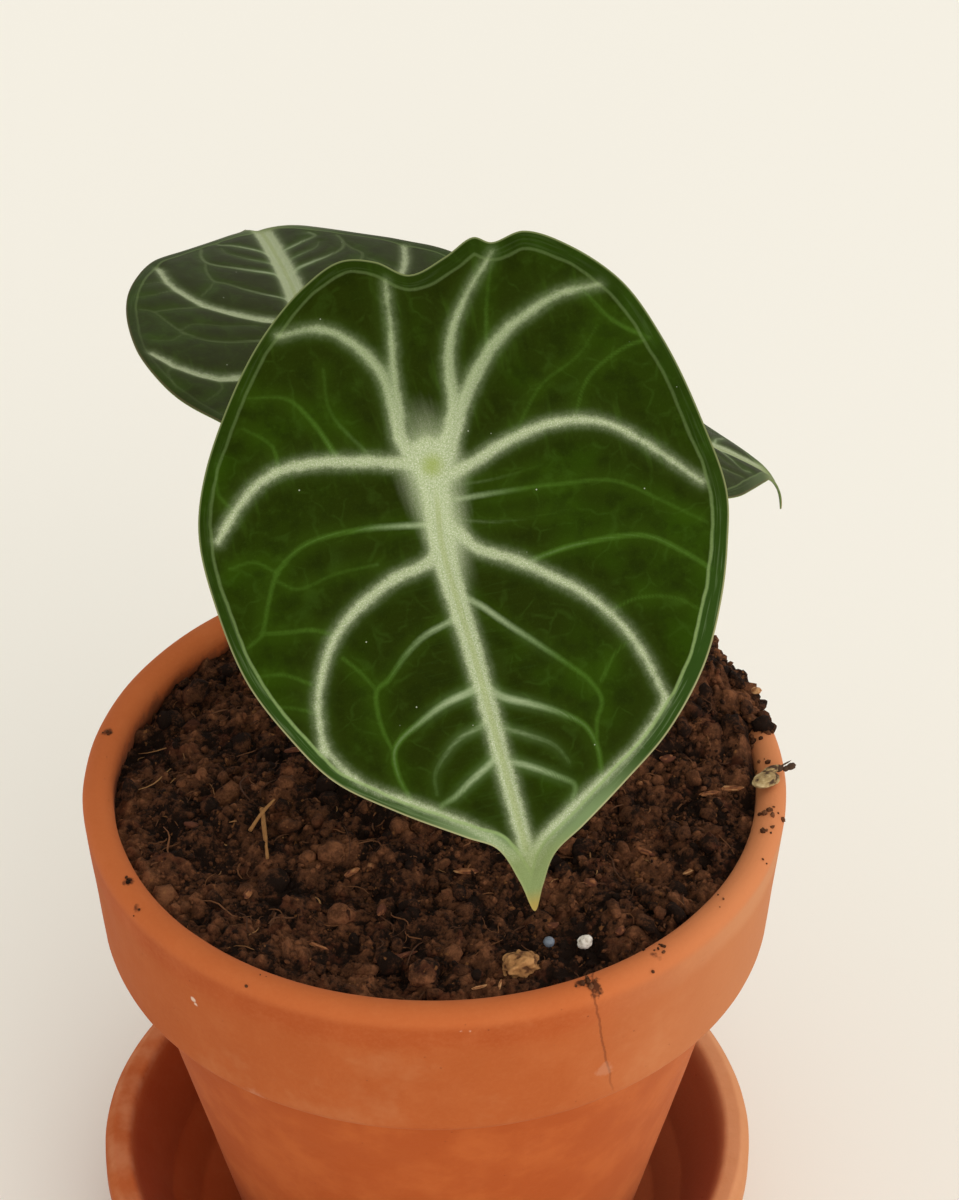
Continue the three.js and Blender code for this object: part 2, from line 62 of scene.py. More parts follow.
# Outlines of the turned clay pieces: radius, height and rounding of each corner.
POT_CORNERS = [
    (7, 0, 0.8), (38.5, 0, 1.5), (57, 78, 1.2), (57.6, 80, 0.6), (62.5, 80, 2.3), (65, 111, LIP_ROUND),
    (WALL_R, 111, LIP_ROUND), (57.8, 82, 3), (51.5, 74, 3), (33.5, 9, 2), (30.5, 7, 1), (7, 7, 0.8),
]
SAUCER_CORNERS = [
    (0, 0, 0), (53, 0, 1.6), (62.3, 17.2, 2), (64.3, 19.2, 1), (64.3, 23.4, 1.2), (62.6, 24.9, 1.1),
    (59.5, 24.9, 1.5), (51.3, 11, 4), (45.5, 6, 2), (0, 6, 0),
]

# The head of the hair crack: across, height above the floor, and how far the crack leans.
CRACK_HEAD = (28.3, 113.0, 0.145)
# Damp soil at the crack's head, white chips, pale smudges and soil specks on the rim: centre, radius,
# raggedness, strength and colour.
POT_MARKS = [
    ((27.6, -56.8, -1.2), 2.1, 3.6, 0.9, "3a2014"), ((25.6, -56.6, -0.4), 1.2, 2.2, 0.9, "3a2014"),
    ((-42.1, -48.6, -11.6), 0.8, 0.7, 0.7, "e9d6c2"), ((-41.7, -48.9, -12.6), 0.6, 0.7, 0.7, "e9d6c2"),
    ((6.6, -64.7, -3.9), 0.55, 0.7, 0.8, "e9d6c2"), ((5.2, -64.9, -3.8), 0.45, 0.7, 0.7, "e9d6c2"),
    ((8.4, -64.6, -3.9), 0.4, 0.7, 0.6, "e9d6c2"), ((30.3, -55.5, -22), 2.2, 2.5, 0.16, "d9b296"),
    ((-31.2, -53.2, -30), 2.6, 2.5, 0.16, "d9b296"), ((-61.3, 11.1, -0.3), 1.3, 1.6, 0.8, "4a2416"),
    ((-54.2, -30.4, -0.3), 1.3, 1.6, 0.8, "4a2416"), ((-52.6, -37.2, -0.3), 1.3, 1.6, 0.8, "4a2416"),
    ((38.7, -49.4, -1), 1.3, 1.6, 0.8, "4a2416"),
]

# Below this height above the floor the saucer's underside stays flat.
SAUCER_FLAT = 1.0

# Soil
SOIL_LEVEL = -2.6
SOIL_HEAP = {"x": 42, "y": 28, "spread": 17.5, "height": 12}
SOIL_MIDDLE = {"spread": 20, "height": 1.6}
SOIL_HOLLOW = 2.0
SOIL_CELL = 7.0
SOIL_CELL_HEIGHT = 2.2
# The crumbly surface: sizes of its big and small crumbs and of its fine and finest grain, and how far they
# rise.
CRUMB_SIZES = (5.6, 2.4, 1.15, 0.62)
CRUMB_RISES = np.array([2.9, 1.3, 0.6, 0.45])
WARP_SEED = 7
# Radius and height above the pot's foot of the soil's side, downwards.
SOIL_SIDE = [(57.1, 82.3), (50.8, 74.3), (32.8, 9.3), (29.8, 7.3), (6.7, 7.3), (6.7, 0.3)]
# Loose pieces lie between these radii, clear of the stalks and the wall.
STALKS_R = 11
LITTER_R = 57.2
LITTER_HEAP = {"x": 44, "y": 20, "spread": 1500}

# Leaf outline from the sinus, down the right side to the drip tip and up the left side. The stalk
# joins at the origin and the tip points along -Y.
OUTLINE = [
    (3.3, 30.7), (9.5, 32.3), (14.7, 34.4), (17.4, 32.9), (22.8, 33.5), (29.5, 29.6), (36.7, 22),
    (41, 11.5), (44.2, -3), (45.6, -14.5), (43.6, -23.5), (40.5, -32), (35.5, -41.5), (27.6, -50.5),
    (19, -56.8), (10.9, -62.1), (5.2, -65.6), (2.2, -70.2), (0, -74), (-1.3, -68.8), (-3.6, -62.9),
    (-8.2, -59.9), (-18, -53.5), (-26.9, -46.3), (-32.5, -37.5), (-37.2, -27), (-39.3, -14),
    (-39.2, -2.5), (-36, 7), (-29.5, 17.4), (-21, 27.2), (-13.4, 32.9), (-7, 35.3), (-1.5, 33.9),
]
TIP_INDEX = 18
STATIONS = [0, 0, 0, -7, -10, -13, -24.5, -38, -50]
LAST_STATION = -60
# Rows of the blade's mesh follow these side veins: points on the way and the outline point at the end.
RIGHT_ROWS = [
    ([(6, 12), (8.3, 20.8)], 3),
    ([(11.1, 13.7), (22.3, 21.2)], 5.7),
    ([(11.5, 0.5), (20.2, 2.1), (30.7, -1)], 9),
    ([(9.9, -6.9), (18.7, -7.6), (32, -12)], 9.9),
    ([(10.5, -16), (19.3, -17.4), (30.8, -20)], 10.7),
    ([(10.1, -18.9), (20.2, -26.7), (26.5, -37.4)], 13),
    ([(5.2, -27), (12.8, -32.9), (18, -41)], 14),
    ([(8, -40.7), (13.1, -45)], 14.7),
    ([(6.5, -53)], 15.4),
]
LEFT_ROWS = [
    ([(-2.6, 14), (-1.9, 23)], 33.5),
    ([(-4.2, 11), (-8.4, 21.5)], 30.7),
    ([(-11.3, 3.4), (-21, 5), (-31.4, 0.9)], 26.4),
    ([(-13.8, -7.6), (-24, -9)], 25.6),
    ([(-13, -13), (-23, -16)], 24.9),
    ([(-10.1, -17.3), (-21.7, -23.8), (-27, -34)], 23.5),
    ([(-9.6, -27.3), (-16.3, -33.3), (-17.7, -42)], 22.1),
    ([(-9.2, -39.2), (-14, -44)], 21.6),
    ([(-6.2, -52.6)], 21.1),
]

# Pale veins: points from the midrib outwards, and the half width at the root and at the end.
PRIMARY_VEINS = [
    ([(-0.3, 2), (-0.5, -5.7), (-1.3, -12.6), (-1, -21), (-0.3, -30.6), (0.3, -46.1),
      (0.9, -64)], 2.6, 1.15),
    ([(-1, 0.4), (-11.3, 3.2), (-21, 4.8), (-26.6, 4), (-31.4, 0.9), (-36.4, -4.2)], 1.0, 0.5),
    ([(-1, -13), (-4.5, -15.3), (-10.1, -16.5), (-16.6, -19.7), (-21.7, -23.8), (-24.6, -28.4),
      (-26.7, -33.9), (-27.3, -41)], 1.0, 0.45),
    ([(1, -2.4), (5.3, -1.5), (11.5, 0.7), (20.2, 2.3), (26.6, 1.4), (30.7, -0.8), (35.6, -5.4),
      (42, -12.4)], 1.05, 0.3),
    ([(-0.6, -9), (1.9, -11.6), (3.9, -14.4), (10.1, -18.1), (15.2, -22), (20.2, -26.5), (24.6, -32.8),
      (26.5, -37.4), (28.6, -45.6)], 1.05, 0.4),
    ([(-1.6, 1), (-3.9, 5.2), (-3.8, 10.6), (-4.8, 16.7), (-8.2, 22.2), (-12.6, 25.4),
      (-19.6, 25.9)], 1.35, 0.35),
    ([(-3.4, 9), (-2.6, 16.2), (-1.5, 23), (-0.7, 30.4)], 0.8, 0.2),
    ([(2.6, 2), (5.6, 8), (6.3, 15.2), (8.3, 20.8), (11.7, 25.6), (17.2, 31.4)], 1.35, 0.2),
    ([(2.6, 1), (6.8, 8.4), (11.1, 13.7), (15.6, 17.9), (22.3, 21.2), (27.4, 22.5),
      (33, 22.4)], 1.4, 0.3),
    ([(28.6, -45.4), (22.6, -51.3), (17.6, -54.7), (13, -57.3), (8.7, -60), (4.6, -62.8),
      (1.7, -66)], 0.3, 1.2),
    ([(-27.3, -40.8), (-24.4, -45.7), (-21.5, -48.8), (-15.5, -52.6), (-11.3, -55.4), (-7.8, -58),
      (-4.3, -61), (-1.2, -65)], 0.35, 0.9),
]
THIN_VEINS = [
    ([(-1, -36.7), (-2.8, -37.1), (-6.5, -37.9), (-11.2, -40), (-15, -42.1), (-16.4, -43.9),
      (-16.6, -47.5), (-15.5, -52.2)], 0.55, 0.26),
    ([(0, -48), (-2.1, -49.3), (-5.5, -51.2), (-8.4, -53), (-10.8, -54), (-11.3, -54.8)], 0.48, 0.26),
    ([(0, -36.6), (2.8, -39), (6.8, -41), (11.2, -43.5), (14.6, -46.4), (15.8, -50),
      (15.6, -54.6)], 0.55, 0.24),
    ([(0.8, -49.2), (1.8, -49.6), (4.5, -50.9), (8.1, -53.2), (10.9, -55.5), (10, -57.8)], 0.46, 0.26),
    ([(-14.8, 5.2), (-17.3, 11.3), (-20.4, 15.6), (-26.5, 17.2)], 0.34, 0.08),
    ([(-24, 4.4), (-24.6, 9), (-28.4, 12.6)], 0.2, 0.08),
    ([(-2.6, -9.2), (-13.8, -7.5), (-22.8, -7.9), (-28, -11.1), (-30.5, -15.3), (-33, -20.5),
      (-35.6, -22)], 0.36, 0.14),
    ([(-28.8, -12.4), (-25.6, -14.6), (-19, -13.6), (-12, -13.6)], 0.14, 0.06),
    ([(-33, -20.3), (-29, -21), (-24.6, -21.6), (-21.5, -23.2)], 0.16, 0.22),
    ([(-0.8, -24.6), (-3.2, -25.3), (-7.3, -26.5), (-11.1, -28.9), (-14.7, -32.2), (-16.8, -33.4),
      (-17.5, -37.3), (-17.2, -40.7), (-16.4, -43.7)], 0.4, 0.16),
    ([(-21, -27.1), (-18.8, -29.9), (-16.8, -33.4)], 0.2, 0.14),
    ([(-1, -42.4), (-2.3, -43), (-5.5, -43.9), (-8.5, -46.1), (-10.8, -48.8),
      (-11.2, -52)], 0.26, 0.08),
    ([(-28, -11.5), (-31.5, -8.8), (-35.6, -9)], 0.16, 0.1),
    ([(-32.4, -0.6), (-34.6, 3.2), (-33.8, 8)], 0.18, 0.1),
    ([(-26.9, -35), (-30, -33.4), (-34, -32)], 0.18, 0.08),
    ([(-27, -30), (-31, -27.5), (-35.4, -27)], 0.2, 0.08),
    ([(2.2, -6.2), (9.9, -6.7), (18.7, -7.5), (28, -9), (35, -14), (41.4, -19)], 0.3, 0.08),
    ([(12.1, -18.5), (19.3, -17.7), (30.8, -18.7), (36.9, -23.1), (40.2, -26.4)], 0.34, 0.24),
    ([(22.4, -29.4), (27.5, -28.3), (33.4, -29.6), (37.2, -32.6)], 0.2, 0.1),
    ([(0.2, -21.8), (2.5, -23.7), (5.8, -27.3), (10.5, -32.2), (14.4, -36.4), (17, -39.5),
      (18.2, -43.1), (16.7, -46.1), (15.8, -50)], 0.42, 0.16),
    ([(18.8, -40), (22, -36.2), (24.8, -34.6)], 0.16, 0.14),
    ([(1, -43.5), (1.9, -44), (5.6, -46), (9.2, -48.5), (10.9, -51.7)], 0.24, 0.08),
    ([(12.7, 15.9), (14.6, 24), (17.4, 31.6)], 0.2, 0.08),
    ([(24, 2), (27.6, 8), (34, 11.4), (38.8, 12.2)], 0.14, 0.2),
    ([(30, 22.4), (33.4, 16.6), (38.6, 12.2)], 0.16, 0.22),
    ([(14, 1.6), (20, 8.6), (27, 12), (31, 16)], 0.12, 0.06),
    ([(-9, 3), (-14, 12), (-13.6, 19)], 0.12, 0.06),
    ([(1.6, -3.8), (8.6, -4.4), (17, -4)], 0.03, 0.0),
    ([(1.6, -9.4), (9, -11.4), (20, -12)], 0.05, 0.0),
]

BLADE_THICKNESS = 0.8
RIB_HEIGHT = 1.3
QUILT_HEIGHT = 0.9
VEIN_SINK = 0.45
MIDRIB_RISE = 0.18
GRAIN_RISE = 0.05
MARGIN_RISE = 0.22
# How sharply veins that meet keep apart: the larger, the less they run together.
VEIN_BLEND = 2.6
FOLD_WIDTH = 6.0
MARGIN_WAVES = 8
DRIP_START = -62.0
DRIP_LENGTH = 12.0

# Each leaf: where its stalk joins, its across and back directions, its size, its bend, and the stalk.
LEAVES = {
    "front": {
        "joint": (0.6, -33.9, 93), "across": (0.974, 0.137, 0.178), "back": (-0.224, 0.594, 0.773),
        "size": 1.0, "mirrored": False, "cell": 0.59, "vein": 0.0,
        "bend": {"across": 0.1, "along": 0.08, "fold": 0.15, "twist": 0, "wave": 0.8, "curl": 10},
        "stalk": [(0, -5.4, -8), (-0.4, -6.5, 12), (-1.2, -8, 46), (-0.6, -13, 74), (0.2, -22.5, 87)],
    },
    "back": {
        "joint": (-18.7, 25.4, 73.4), "across": (-0.958, -0.265, 0.113), "back": (0.258, -0.963, -0.074),
        "size": 0.853, "mirrored": True, "cell": 0.84, "vein": 0.15,
        "bend": {"across": 0.01, "along": 0.274, "fold": 0.47, "twist": -0.057, "wave": 0.5, "curl": 75},
        "stalk": [(-4.7, 2.7, -8), (-5.6, 4, 12), (-9.5, 10, 38), (-15, 19, 58), (-18.2, 24, 67)],
    },
    "right": {
        "joint": (20.4, 35.5, 57.6), "across": (-0.127, 0.968, -0.217), "back": (-0.984, -0.095, 0.151),
        "size": 0.663, "mirrored": True, "cell": 1.2, "vein": 0.1,
        "bend": {"across": 0.05, "along": 0.36, "fold": -1.14, "twist": 0.013, "wave": 0.4, "curl": 80},
        "stalk": [(4.7, 2.7, -8), (6, 4.6, 10), (10.5, 13.5, 31), (16.5, 27, 45), (19.6, 33.6, 51)],
    },
}
PETIOLE_FOOT_R = 3.7
PETIOLE_TOP_R = 2.1

CORM_OUTLINE = [
    (0, -24, 0), (5.5, -24, 1.5), (9.5, -13.2, 3), (10.5, -4, 2), (9.9, 0.5, 1.2), (7.5, 2.5, 1), (0, 2.5, 0),
]
# Roots: direction in degrees, reach and drop.
ROOTS = [(20, 34, 42), (95, 30, 60), (165, 36, 38), (238, 28, 64), (310, 35, 46)]
ROOT_R = 1.5

# Node, finish, place from the rim's centre, half sizes, turn in degrees and roughness of shape.
BITS = {
    "bark_chunk": ("bark", (15.4, -49.9), (3.3, 2.7, 2.2), 20, 0.8),
    "perlite_grain": ("perlite", (26.7, -44), (1.5, 1.2, 1.1), 50, 0.35),
    "soil_clod": ("soil", (-1.4, -52), (3.2, 2.6, 2.2), 70, 0.55),
}
# The parts of the rim chip: half sizes, place along, across and above it, and how much darker they are.
CHIP_PARTS = [
    ((2.9, 1.9, 0.85), (-2.0, -0.2, 0), 0.0), ((1.9, 0.9, 0.6), (0.2, 1.0, 0.3), -0.2),
    ((0.9, 0.75, 0.6), (1.9, 0.7, 0), -1.0), ((0.8, 0.55, 0.5), (3.0, -0.1, -0.1), -1.0),
    ((0.95, 0.7, 0.6), (4.0, -0.4, 0.1), -0.9), ((1.7, 0.16, 0.16), (3.1, 0.6, 0.4), -0.5),
]
# Bits of wood and peel on the soil: place, half sizes, turn and tone.
WOOD_BITS = [
    ((6, -24.2), (2.3, 0.65, 0.4), 2, 0.5), ((21, -38.2), (1.5, 0.8, 0.6), 20, 0.1),
    ((-5, -46.5), (2.4, 0.5, 0.5), 25, 0.0), ((-6.4, -45.4), (1.6, 0.45, 0.5), -50, 0.1),
    ((60.2, 18.6), (1.0, 0.8, 0.6), 10, 1.0), ((54, -3.4), (2.8, 0.7, 0.5), 4, 0.6),
    ((50.5, -5.5), (1.9, 0.6, 0.4), 12, 0.4), ((-14.6, -25.4), (1.7, 0.6, 0.5), 40, 0.6),
    ((-33, -31), (1.3, 0.7, 0.5), 75, 0.3), ((38, -20), (2.0, 0.6, 0.5), -30, 0.3),
    ((-26, 8), (2.4, 0.6, 0.4), 12, 0.1), ((8.3, -55), (1.5, 0.3, 0.3), 20, 0.9),
    ((11.8, -55), (1.2, 0.3, 0.3), 80, 0.8), ((33, -41), (1.3, 0.8, 0.6), 60, 0.2),
    ((43, 2), (1.5, 0.9, 0.6), 15, 0.1), ((-44, -12), (1.8, 0.7, 0.5), -20, 0.0),
    ((28, -29), (1.3, 1.0, 0.8), 0, 0.2), ((-9, -36), (1.6, 0.8, 0.6), 70, 0.1),
    ((46, -24), (1.4, 0.5, 0.4), 35, 0.7), ((-20, -44.5), (2.2, 0.35, 0.35), -28, 0.5),
]
TWIG = {"length": 13, "lift": 1.1, "at": (-30.6, -16.5), "turn": -83}
RIM_CHIP = {"height": 1.35, "angle": -2.6, "radius": 62.3, "turn": 39}

# Where the heap has spilt over the lip: the angles in degrees, the spread, how far it's piled up, and how
# many grains there are.
SPILL = {"angles": (11, 44), "spread": 3.1, "reach": 6.2, "lumps": 260, "crumbs": 1100}

# Lift above the soil, least size, how much more and its power, size on the lip, widest stretch, and tones.
GRAINS = {
    "lumps": (0.15, 0.5, 1.9, 2.6, 1.15, 1.25, (1.6, 2.6)),
    "crumbs": (0.1, 0.2, 0.5, 2, 0.5, 1.3, (1.5, 2.2)),
}
SHAPE_COUNT = 7

# Groups of crumbs on the lip: centre, spread, count and size.
STRAYS = [
    ((27.2, -56.6), 1.0, 12, 0.42), ((39.6, -48.2), 1.2, 8, 0.35), ((61.0, -11.6), 1.3, 7, 0.5),
    ((61.4, -17.0), 1.5, 5, 0.5), ((60.4, 2.2), 0.9, 5, 0.4), ((61.0, 11.4), 1.3, 22, 0.6),
    ((-61.2, 11.0), 0.5, 4, 0.4), ((-54.2, -30.4), 0.6, 5, 0.35), ((-52.4, -36.8), 0.9, 3, 0.25),
    ((52, -33.5), 2.2, 4, 0.3), ((-30, -53.5), 3, 4, 0.2), ((59.8, -25.4), 1.0, 5, 0.35),
]

# Fibres: least length, how much longer they can be, spread of their bow, wave and lean, and their radius.
FIBRE = {"length": 1.8, "longer": 8, "bow": 0.26, "wave": 0.16, "lean": 0.16, "radius": (0.06, 0.15)}

# Camera and lights: metres, degrees, and azimuths that run from the front to the right.
CAMERA = {"place": (0.010454, -0.506982, 0.546289), "pitch": 37.55, "lens": 108, "sensor": 36}
LIGHTS = {
    "side_light": {"azimuth": 98, "height": 46, "spread": 115, "colour": (1, 0.985, 0.955)},
    "front_light": {"azimuth": 24, "height": 17, "spread": 60, "colour": (1, 0.985, 0.96)},
}
SKY_COLOUR = (1, 0.99, 0.97, 1)
FLOOR_SIZE = 30


# Geometry helpers

def deselect():
    if bpy.context.object and bpy.context.object.mode != "OBJECT":
        bpy.ops.object.mode_set(mode="OBJECT")
    bpy.ops.object.select_all(action="DESELECT")


def take(piece):
    deselect()
    piece.select_set(True)
    bpy.context.view_layer.objects.active = piece


@contextmanager
def editing(piece, select="SELECT"):
    """Edit mode on one piece, with all or none of it selected."""
    take(piece)
    bpy.ops.object.mode_set(mode="EDIT")
    bpy.ops.mesh.select_mode(type="VERT")
    bpy.ops.mesh.select_all(action=select)
    yield
    bpy.ops.object.mode_set(mode="OBJECT")


def added(name):
    piece = bpy.context.object
    piece.name = name
    piece.data.name = name
    return piece


def places(piece):
    """The piece's vertices, in millimetres."""
    flat = np.empty(len(piece.data.vertices) * 3)
    piece.data.vertices.foreach_get("co", flat)
    return flat.reshape(-1, 3) / MM


def set_places(piece, points):
    piece.data.vertices.foreach_set("co", (np.asarray(points) * MM).ravel())
    piece.data.update()


def keep(piece, label, values):
    """Stores one number for each vertex."""
    attribute = piece.data.attributes.get(label) or piece.data.attributes.new(label, "FLOAT", "POINT")
    attribute.data.foreach_set("value", np.asarray(values, dtype=np.float32))


def kept(piece, label):
    values = np.empty(len(piece.data.vertices), dtype=np.float32)
    piece.data.attributes[label].data.foreach_get("value", values)
    return values


def apply(piece, kind, **settings):
    take(piece)
    modifier = piece.modifiers.new(kind.title(), kind)
    for key, value in settings.items():
        setattr(modifier, key, value)
    bpy.ops.object.modifier_apply(modifier=modifier.name)


def finished(piece, node, slot, material, angle=60):
    """Shades the piece, gives it its material and puts it in the frame."""
    take(piece)
    bpy.ops.object.shade_smooth_by_angle(angle=math.radians(angle))
    piece.data.materials.clear()
    piece.data.materials.append(material)
    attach(piece, "root")
    if node:
        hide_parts(node)


def unit(vectors):
    return vectors / np.linalg.norm(vectors, axis=-1, keepdims=True)


def welded(piece, distance):
    """Closes the seams of a grid or a turned body, with all its faces outwards."""
    with editing(piece):
        bpy.ops.mesh.remove_doubles(threshold=distance * MM)
        bpy.ops.mesh.normals_make_consistent(inside=False)


def grid(name, across, along):
    """A flat grid; its vertex (i, j) is number j * (across + 1) + i."""
    deselect()
    bpy.ops.mesh.primitive_grid_add(x_subdivisions=across, y_subdivisions=along, size=1)
    piece = added(name)
    assert len(piece.data.vertices) == (across + 1) * (along + 1)
    return piece


def rounded(corners, closed, spacing=1.3, turns=7):
    """A line through corners of (radius, height, rounding), with points at an even spacing."""
    count = len(corners)
    line = []
    for i, (*corner, radius) in enumerate(corners):
        corner = np.array(corner, float)
        if radius == 0 or (not closed and i in (0, count - 1)):
            line.append(corner)
            continue
        before = np.array(corners[i - 1][:2], float) - corner
        after = np.array(corners[(i + 1) % count][:2], float) - corner
        before_length, after_length = np.hypot(*before), np.hypot(*after)
        before, after = before / before_length, after / after_length
        half = 0.5 * math.acos(np.clip(before @ after, -1, 1))
        reach = min(radius / math.tan(half), 0.499 * before_length, 0.499 * after_length)
        radius = reach * math.tan(half)
        centre = corner + (before + after) / np.hypot(*(before + after)) * radius / math.sin(half)
        start, end = corner + before * reach - centre, corner + after * reach - centre
        sweep = math.atan2(start[0] * end[1] - start[1] * end[0], start @ end)
        for k in range(turns + 1):
            angle = sweep * k / turns
            turn = np.array([[math.cos(angle), -math.sin(angle)], [math.sin(angle), math.cos(angle)]])
            line.append(centre + turn @ start)
    if closed:
        line.append(line[0])
    points = []
    for a, b in zip(line, line[1:]):
        parts = max(1, round(np.hypot(*(b - a)) / spacing))
        points += [a + (b - a) * k / parts for k in range(parts)]
    if not closed:
        points.append(line[-1])
    return np.array(points)


def spun(name, corners, closed, steps, spacing=1.3):
    """A body turned round the Z axis from its outline, with heights from its own foot."""
    outline = rounded(corners, closed, spacing)
    deselect()
    bpy.ops.mesh.primitive_circle_add(vertices=len(outline), radius=1)
    piece = added(name)
    set_places(piece, np.c_[outline[:, 0], np.zeros(len(outline)), outline[:, 1]])
    if not closed:
        with editing(piece, "DESELECT"):
            mesh = bmesh.from_edit_mesh(piece.data)
            mesh.verts.ensure_lookup_table()
            bpy.ops.mesh.select_mode(type="EDGE")
            mesh.edges.get((mesh.verts[0], mesh.verts[-1])).select_set(True)
            bpy.ops.mesh.delete(type="EDGE")
    with editing(piece):
        bpy.ops.mesh.spin(steps=steps, angle=math.tau, center=(0, 0, 0), axis=(0, 0, 1))
    welded(piece, 0.01)
    return piece


def cloud(points, size, seed=0.0):
    """Smooth noise between -1 and 1 at each point, with features of about the given size."""
    return np.array([noise.noise(Vector(p) / size + Vector((seed, 3.1 * seed, 7.7 * seed))) for p in points])


def clods(points, size, seed=0.0):
    """Rounded lumps: 0.5 at the middle of each, falling towards the creases between them."""
    shift = Vector((seed, 2.3 * seed, 5.1 * seed))
    return np.array([0.5 - noise.voronoi(Vector(p) / size + shift)[0][0] for p in points])


def centripetal(points, closed, steps):
    """A smooth line through the points, with the given number of steps in each span."""
    p = np.asarray(points, float)
    count = len(p)
    t = np.linspace(0, 1, steps, endpoint=False)[:, None]
    line = []
    for i in range(count if closed else count - 1):
        p1, p2 = p[i], p[(i + 1) % count]
        p0 = p[i - 1] if closed or i > 0 else 2 * p1 - p2
        p3 = p[(i + 2) % count] if closed or i + 2 < count else 2 * p2 - p1
        d0, d1, d2 = (max(np.linalg.norm(b - a) ** 0.5, 1e-4) for a, b in ((p0, p1), (p1, p2), (p2, p3)))
        m1 = ((p1 - p0) / d0 - (p2 - p0) / (d0 + d1) + (p2 - p1) / d1) * d1
        m2 = ((p2 - p1) / d1 - (p3 - p1) / (d1 + d2) + (p3 - p2) / d2) * d1
        line.append((2 * t**3 - 3 * t**2 + 1) * p1 + (t**3 - 2 * t**2 + t) * m1
                    + (3 * t**2 - 2 * t**3) * p2 + (t**3 - t**2) * m2)
    if not closed:
        line.append(p[-1:])
    return np.concatenate(line)


def spaced(line, count):
    """Points at equal steps along a line."""
    run = np.r_[0, np.cumsum(np.linalg.norm(np.diff(line, axis=0), axis=1))]
    at = np.linspace(0, run[-1], count)
    return np.stack([np.interp(at, run, line[:, k]) for k in range(line.shape[1])], axis=1)


def depth_in(points, line, half_widths, reach=6.0, crest=0.0):
    """How deep each point lies in a band along the line, negative outside. A crest rounds its middle."""
    best = np.full(len(points), -reach)
    low, high = line.min(axis=0) - reach, line.max(axis=0) + reach
    near = np.flatnonzero(np.all((points > low) & (points < high), axis=1))
    close = points[near]
    depth = np.full(len(near), -reach)
    for a, b, wide_a, wide_b in zip(line, line[1:], half_widths, half_widths[1:]):
        along = b - a
        t = np.clip((close - a) @ along / max(along @ along, 1e-9), 0, 1)
        away = np.hypot(*(close - a - t[:, None] * along).T)
        away = np.sqrt(away**2 + crest**2) - crest
        depth = np.maximum(depth, wide_a + t * (wide_b - wide_a) - away)
    best[near] = depth
    return best


def smooth(value, low, high):
    t = np.clip((value - low) / (high - low), 0, 1)
    return t * t * (3 - 2 * t)


def swept(name, points, radii, sides=20, steps=60, lumps=0.0):
    """A round stick along a line of points in mm, closed at both ends."""
    line = spaced(centripetal(points, False, 12), steps + 1)
    radius = np.interp(np.linspace(0, 1, steps + 1), np.linspace(0, 1, len(radii)), radii)
    piece = grid(name, sides, steps)
    forward = unit(np.gradient(line, axis=0))
    side = unit(np.cross(forward, (0.31, 0.95, 0.05)))
    other = np.cross(forward, side)
    angle = np.linspace(0, math.tau, sides + 1)
    ring = side[:, None] * np.cos(angle)[None, :, None] + other[:, None] * np.sin(angle)[None, :, None]
    points = (line[:, None] + ring * radius[:, None, None]).reshape(-1, 3)
    if lumps:
        points = points + ring.reshape(-1, 3) * lumps * cloud(np.round(points, 3), 2.5)[:, None]
    set_places(piece, points)
    with editing(piece):
        bpy.ops.mesh.remove_doubles(threshold=0.001 * MM)
        bpy.ops.mesh.select_all(action="DESELECT")
        bpy.ops.mesh.select_non_manifold()
        bpy.ops.mesh.edge_face_add()
        bpy.ops.mesh.select_all(action="SELECT")
        bpy.ops.mesh.normals_make_consistent(inside=False)
    return piece


def joined(pieces, name):
    deselect()
    for piece in pieces:
        piece.select_set(True)
    bpy.context.view_layer.objects.active = pieces[0]
    bpy.ops.object.join()
    return added(name)


# Materials

def rgb(text):
    """A colour as the eye reads it, such as c46a3c, in linear light."""
    parts = [int(text[i:i + 2], 16) / 255 for i in (0, 2, 4)]
    return tuple(c / 12.92 if c <= 0.04045 else ((c + 0.055) / 1.055) ** 2.4 for c in parts)


class Field:
    """A value or colour in a material. Arithmetic on it adds Math nodes."""

    def __init__(self, recipe, socket):
        self.recipe = recipe
        self.socket = socket

    def _math(self, operation, *terms):
        return self.recipe.node("Math", {"operation": operation}, dict(enumerate(terms)))

    def __add__(self, other):
        return self._math("ADD", self, other)

    def __sub__(self, other):
        return self._math("SUBTRACT", self, other)

    def __rsub__(self, other):
        return self._math("SUBTRACT", other, self)

    def __mul__(self, other):
        return self._math("MULTIPLY", self, other)

    def __truediv__(self, other):
        return self._math("DIVIDE", self, other)

    def __rtruediv__(self, other):
        return self._math("DIVIDE", other, self)

    def __rpow__(self, other):
        return self._math("POWER", other, self)

    def __pow__(self, other):
        return self._math("POWER", self, other)

    def __neg__(self):
        return self._math("MULTIPLY", self, -1.0)

    def __abs__(self):
        return self._math("ABSOLUTE", self)

    __radd__ = __add__
    __rmul__ = __mul__

    def most(self, other):
        return self._math("MAXIMUM", self, other)

    def least(self, other):
        return self._math("MINIMUM", self, other)

    def between(self, low, high):
        """0 at low and 1 at high, with a soft change; low may be the larger."""
        return self.recipe.node("MapRange", {"interpolation_type": "SMOOTHSTEP"},
                                {"Value": self, "From Min": low, "From Max": high})


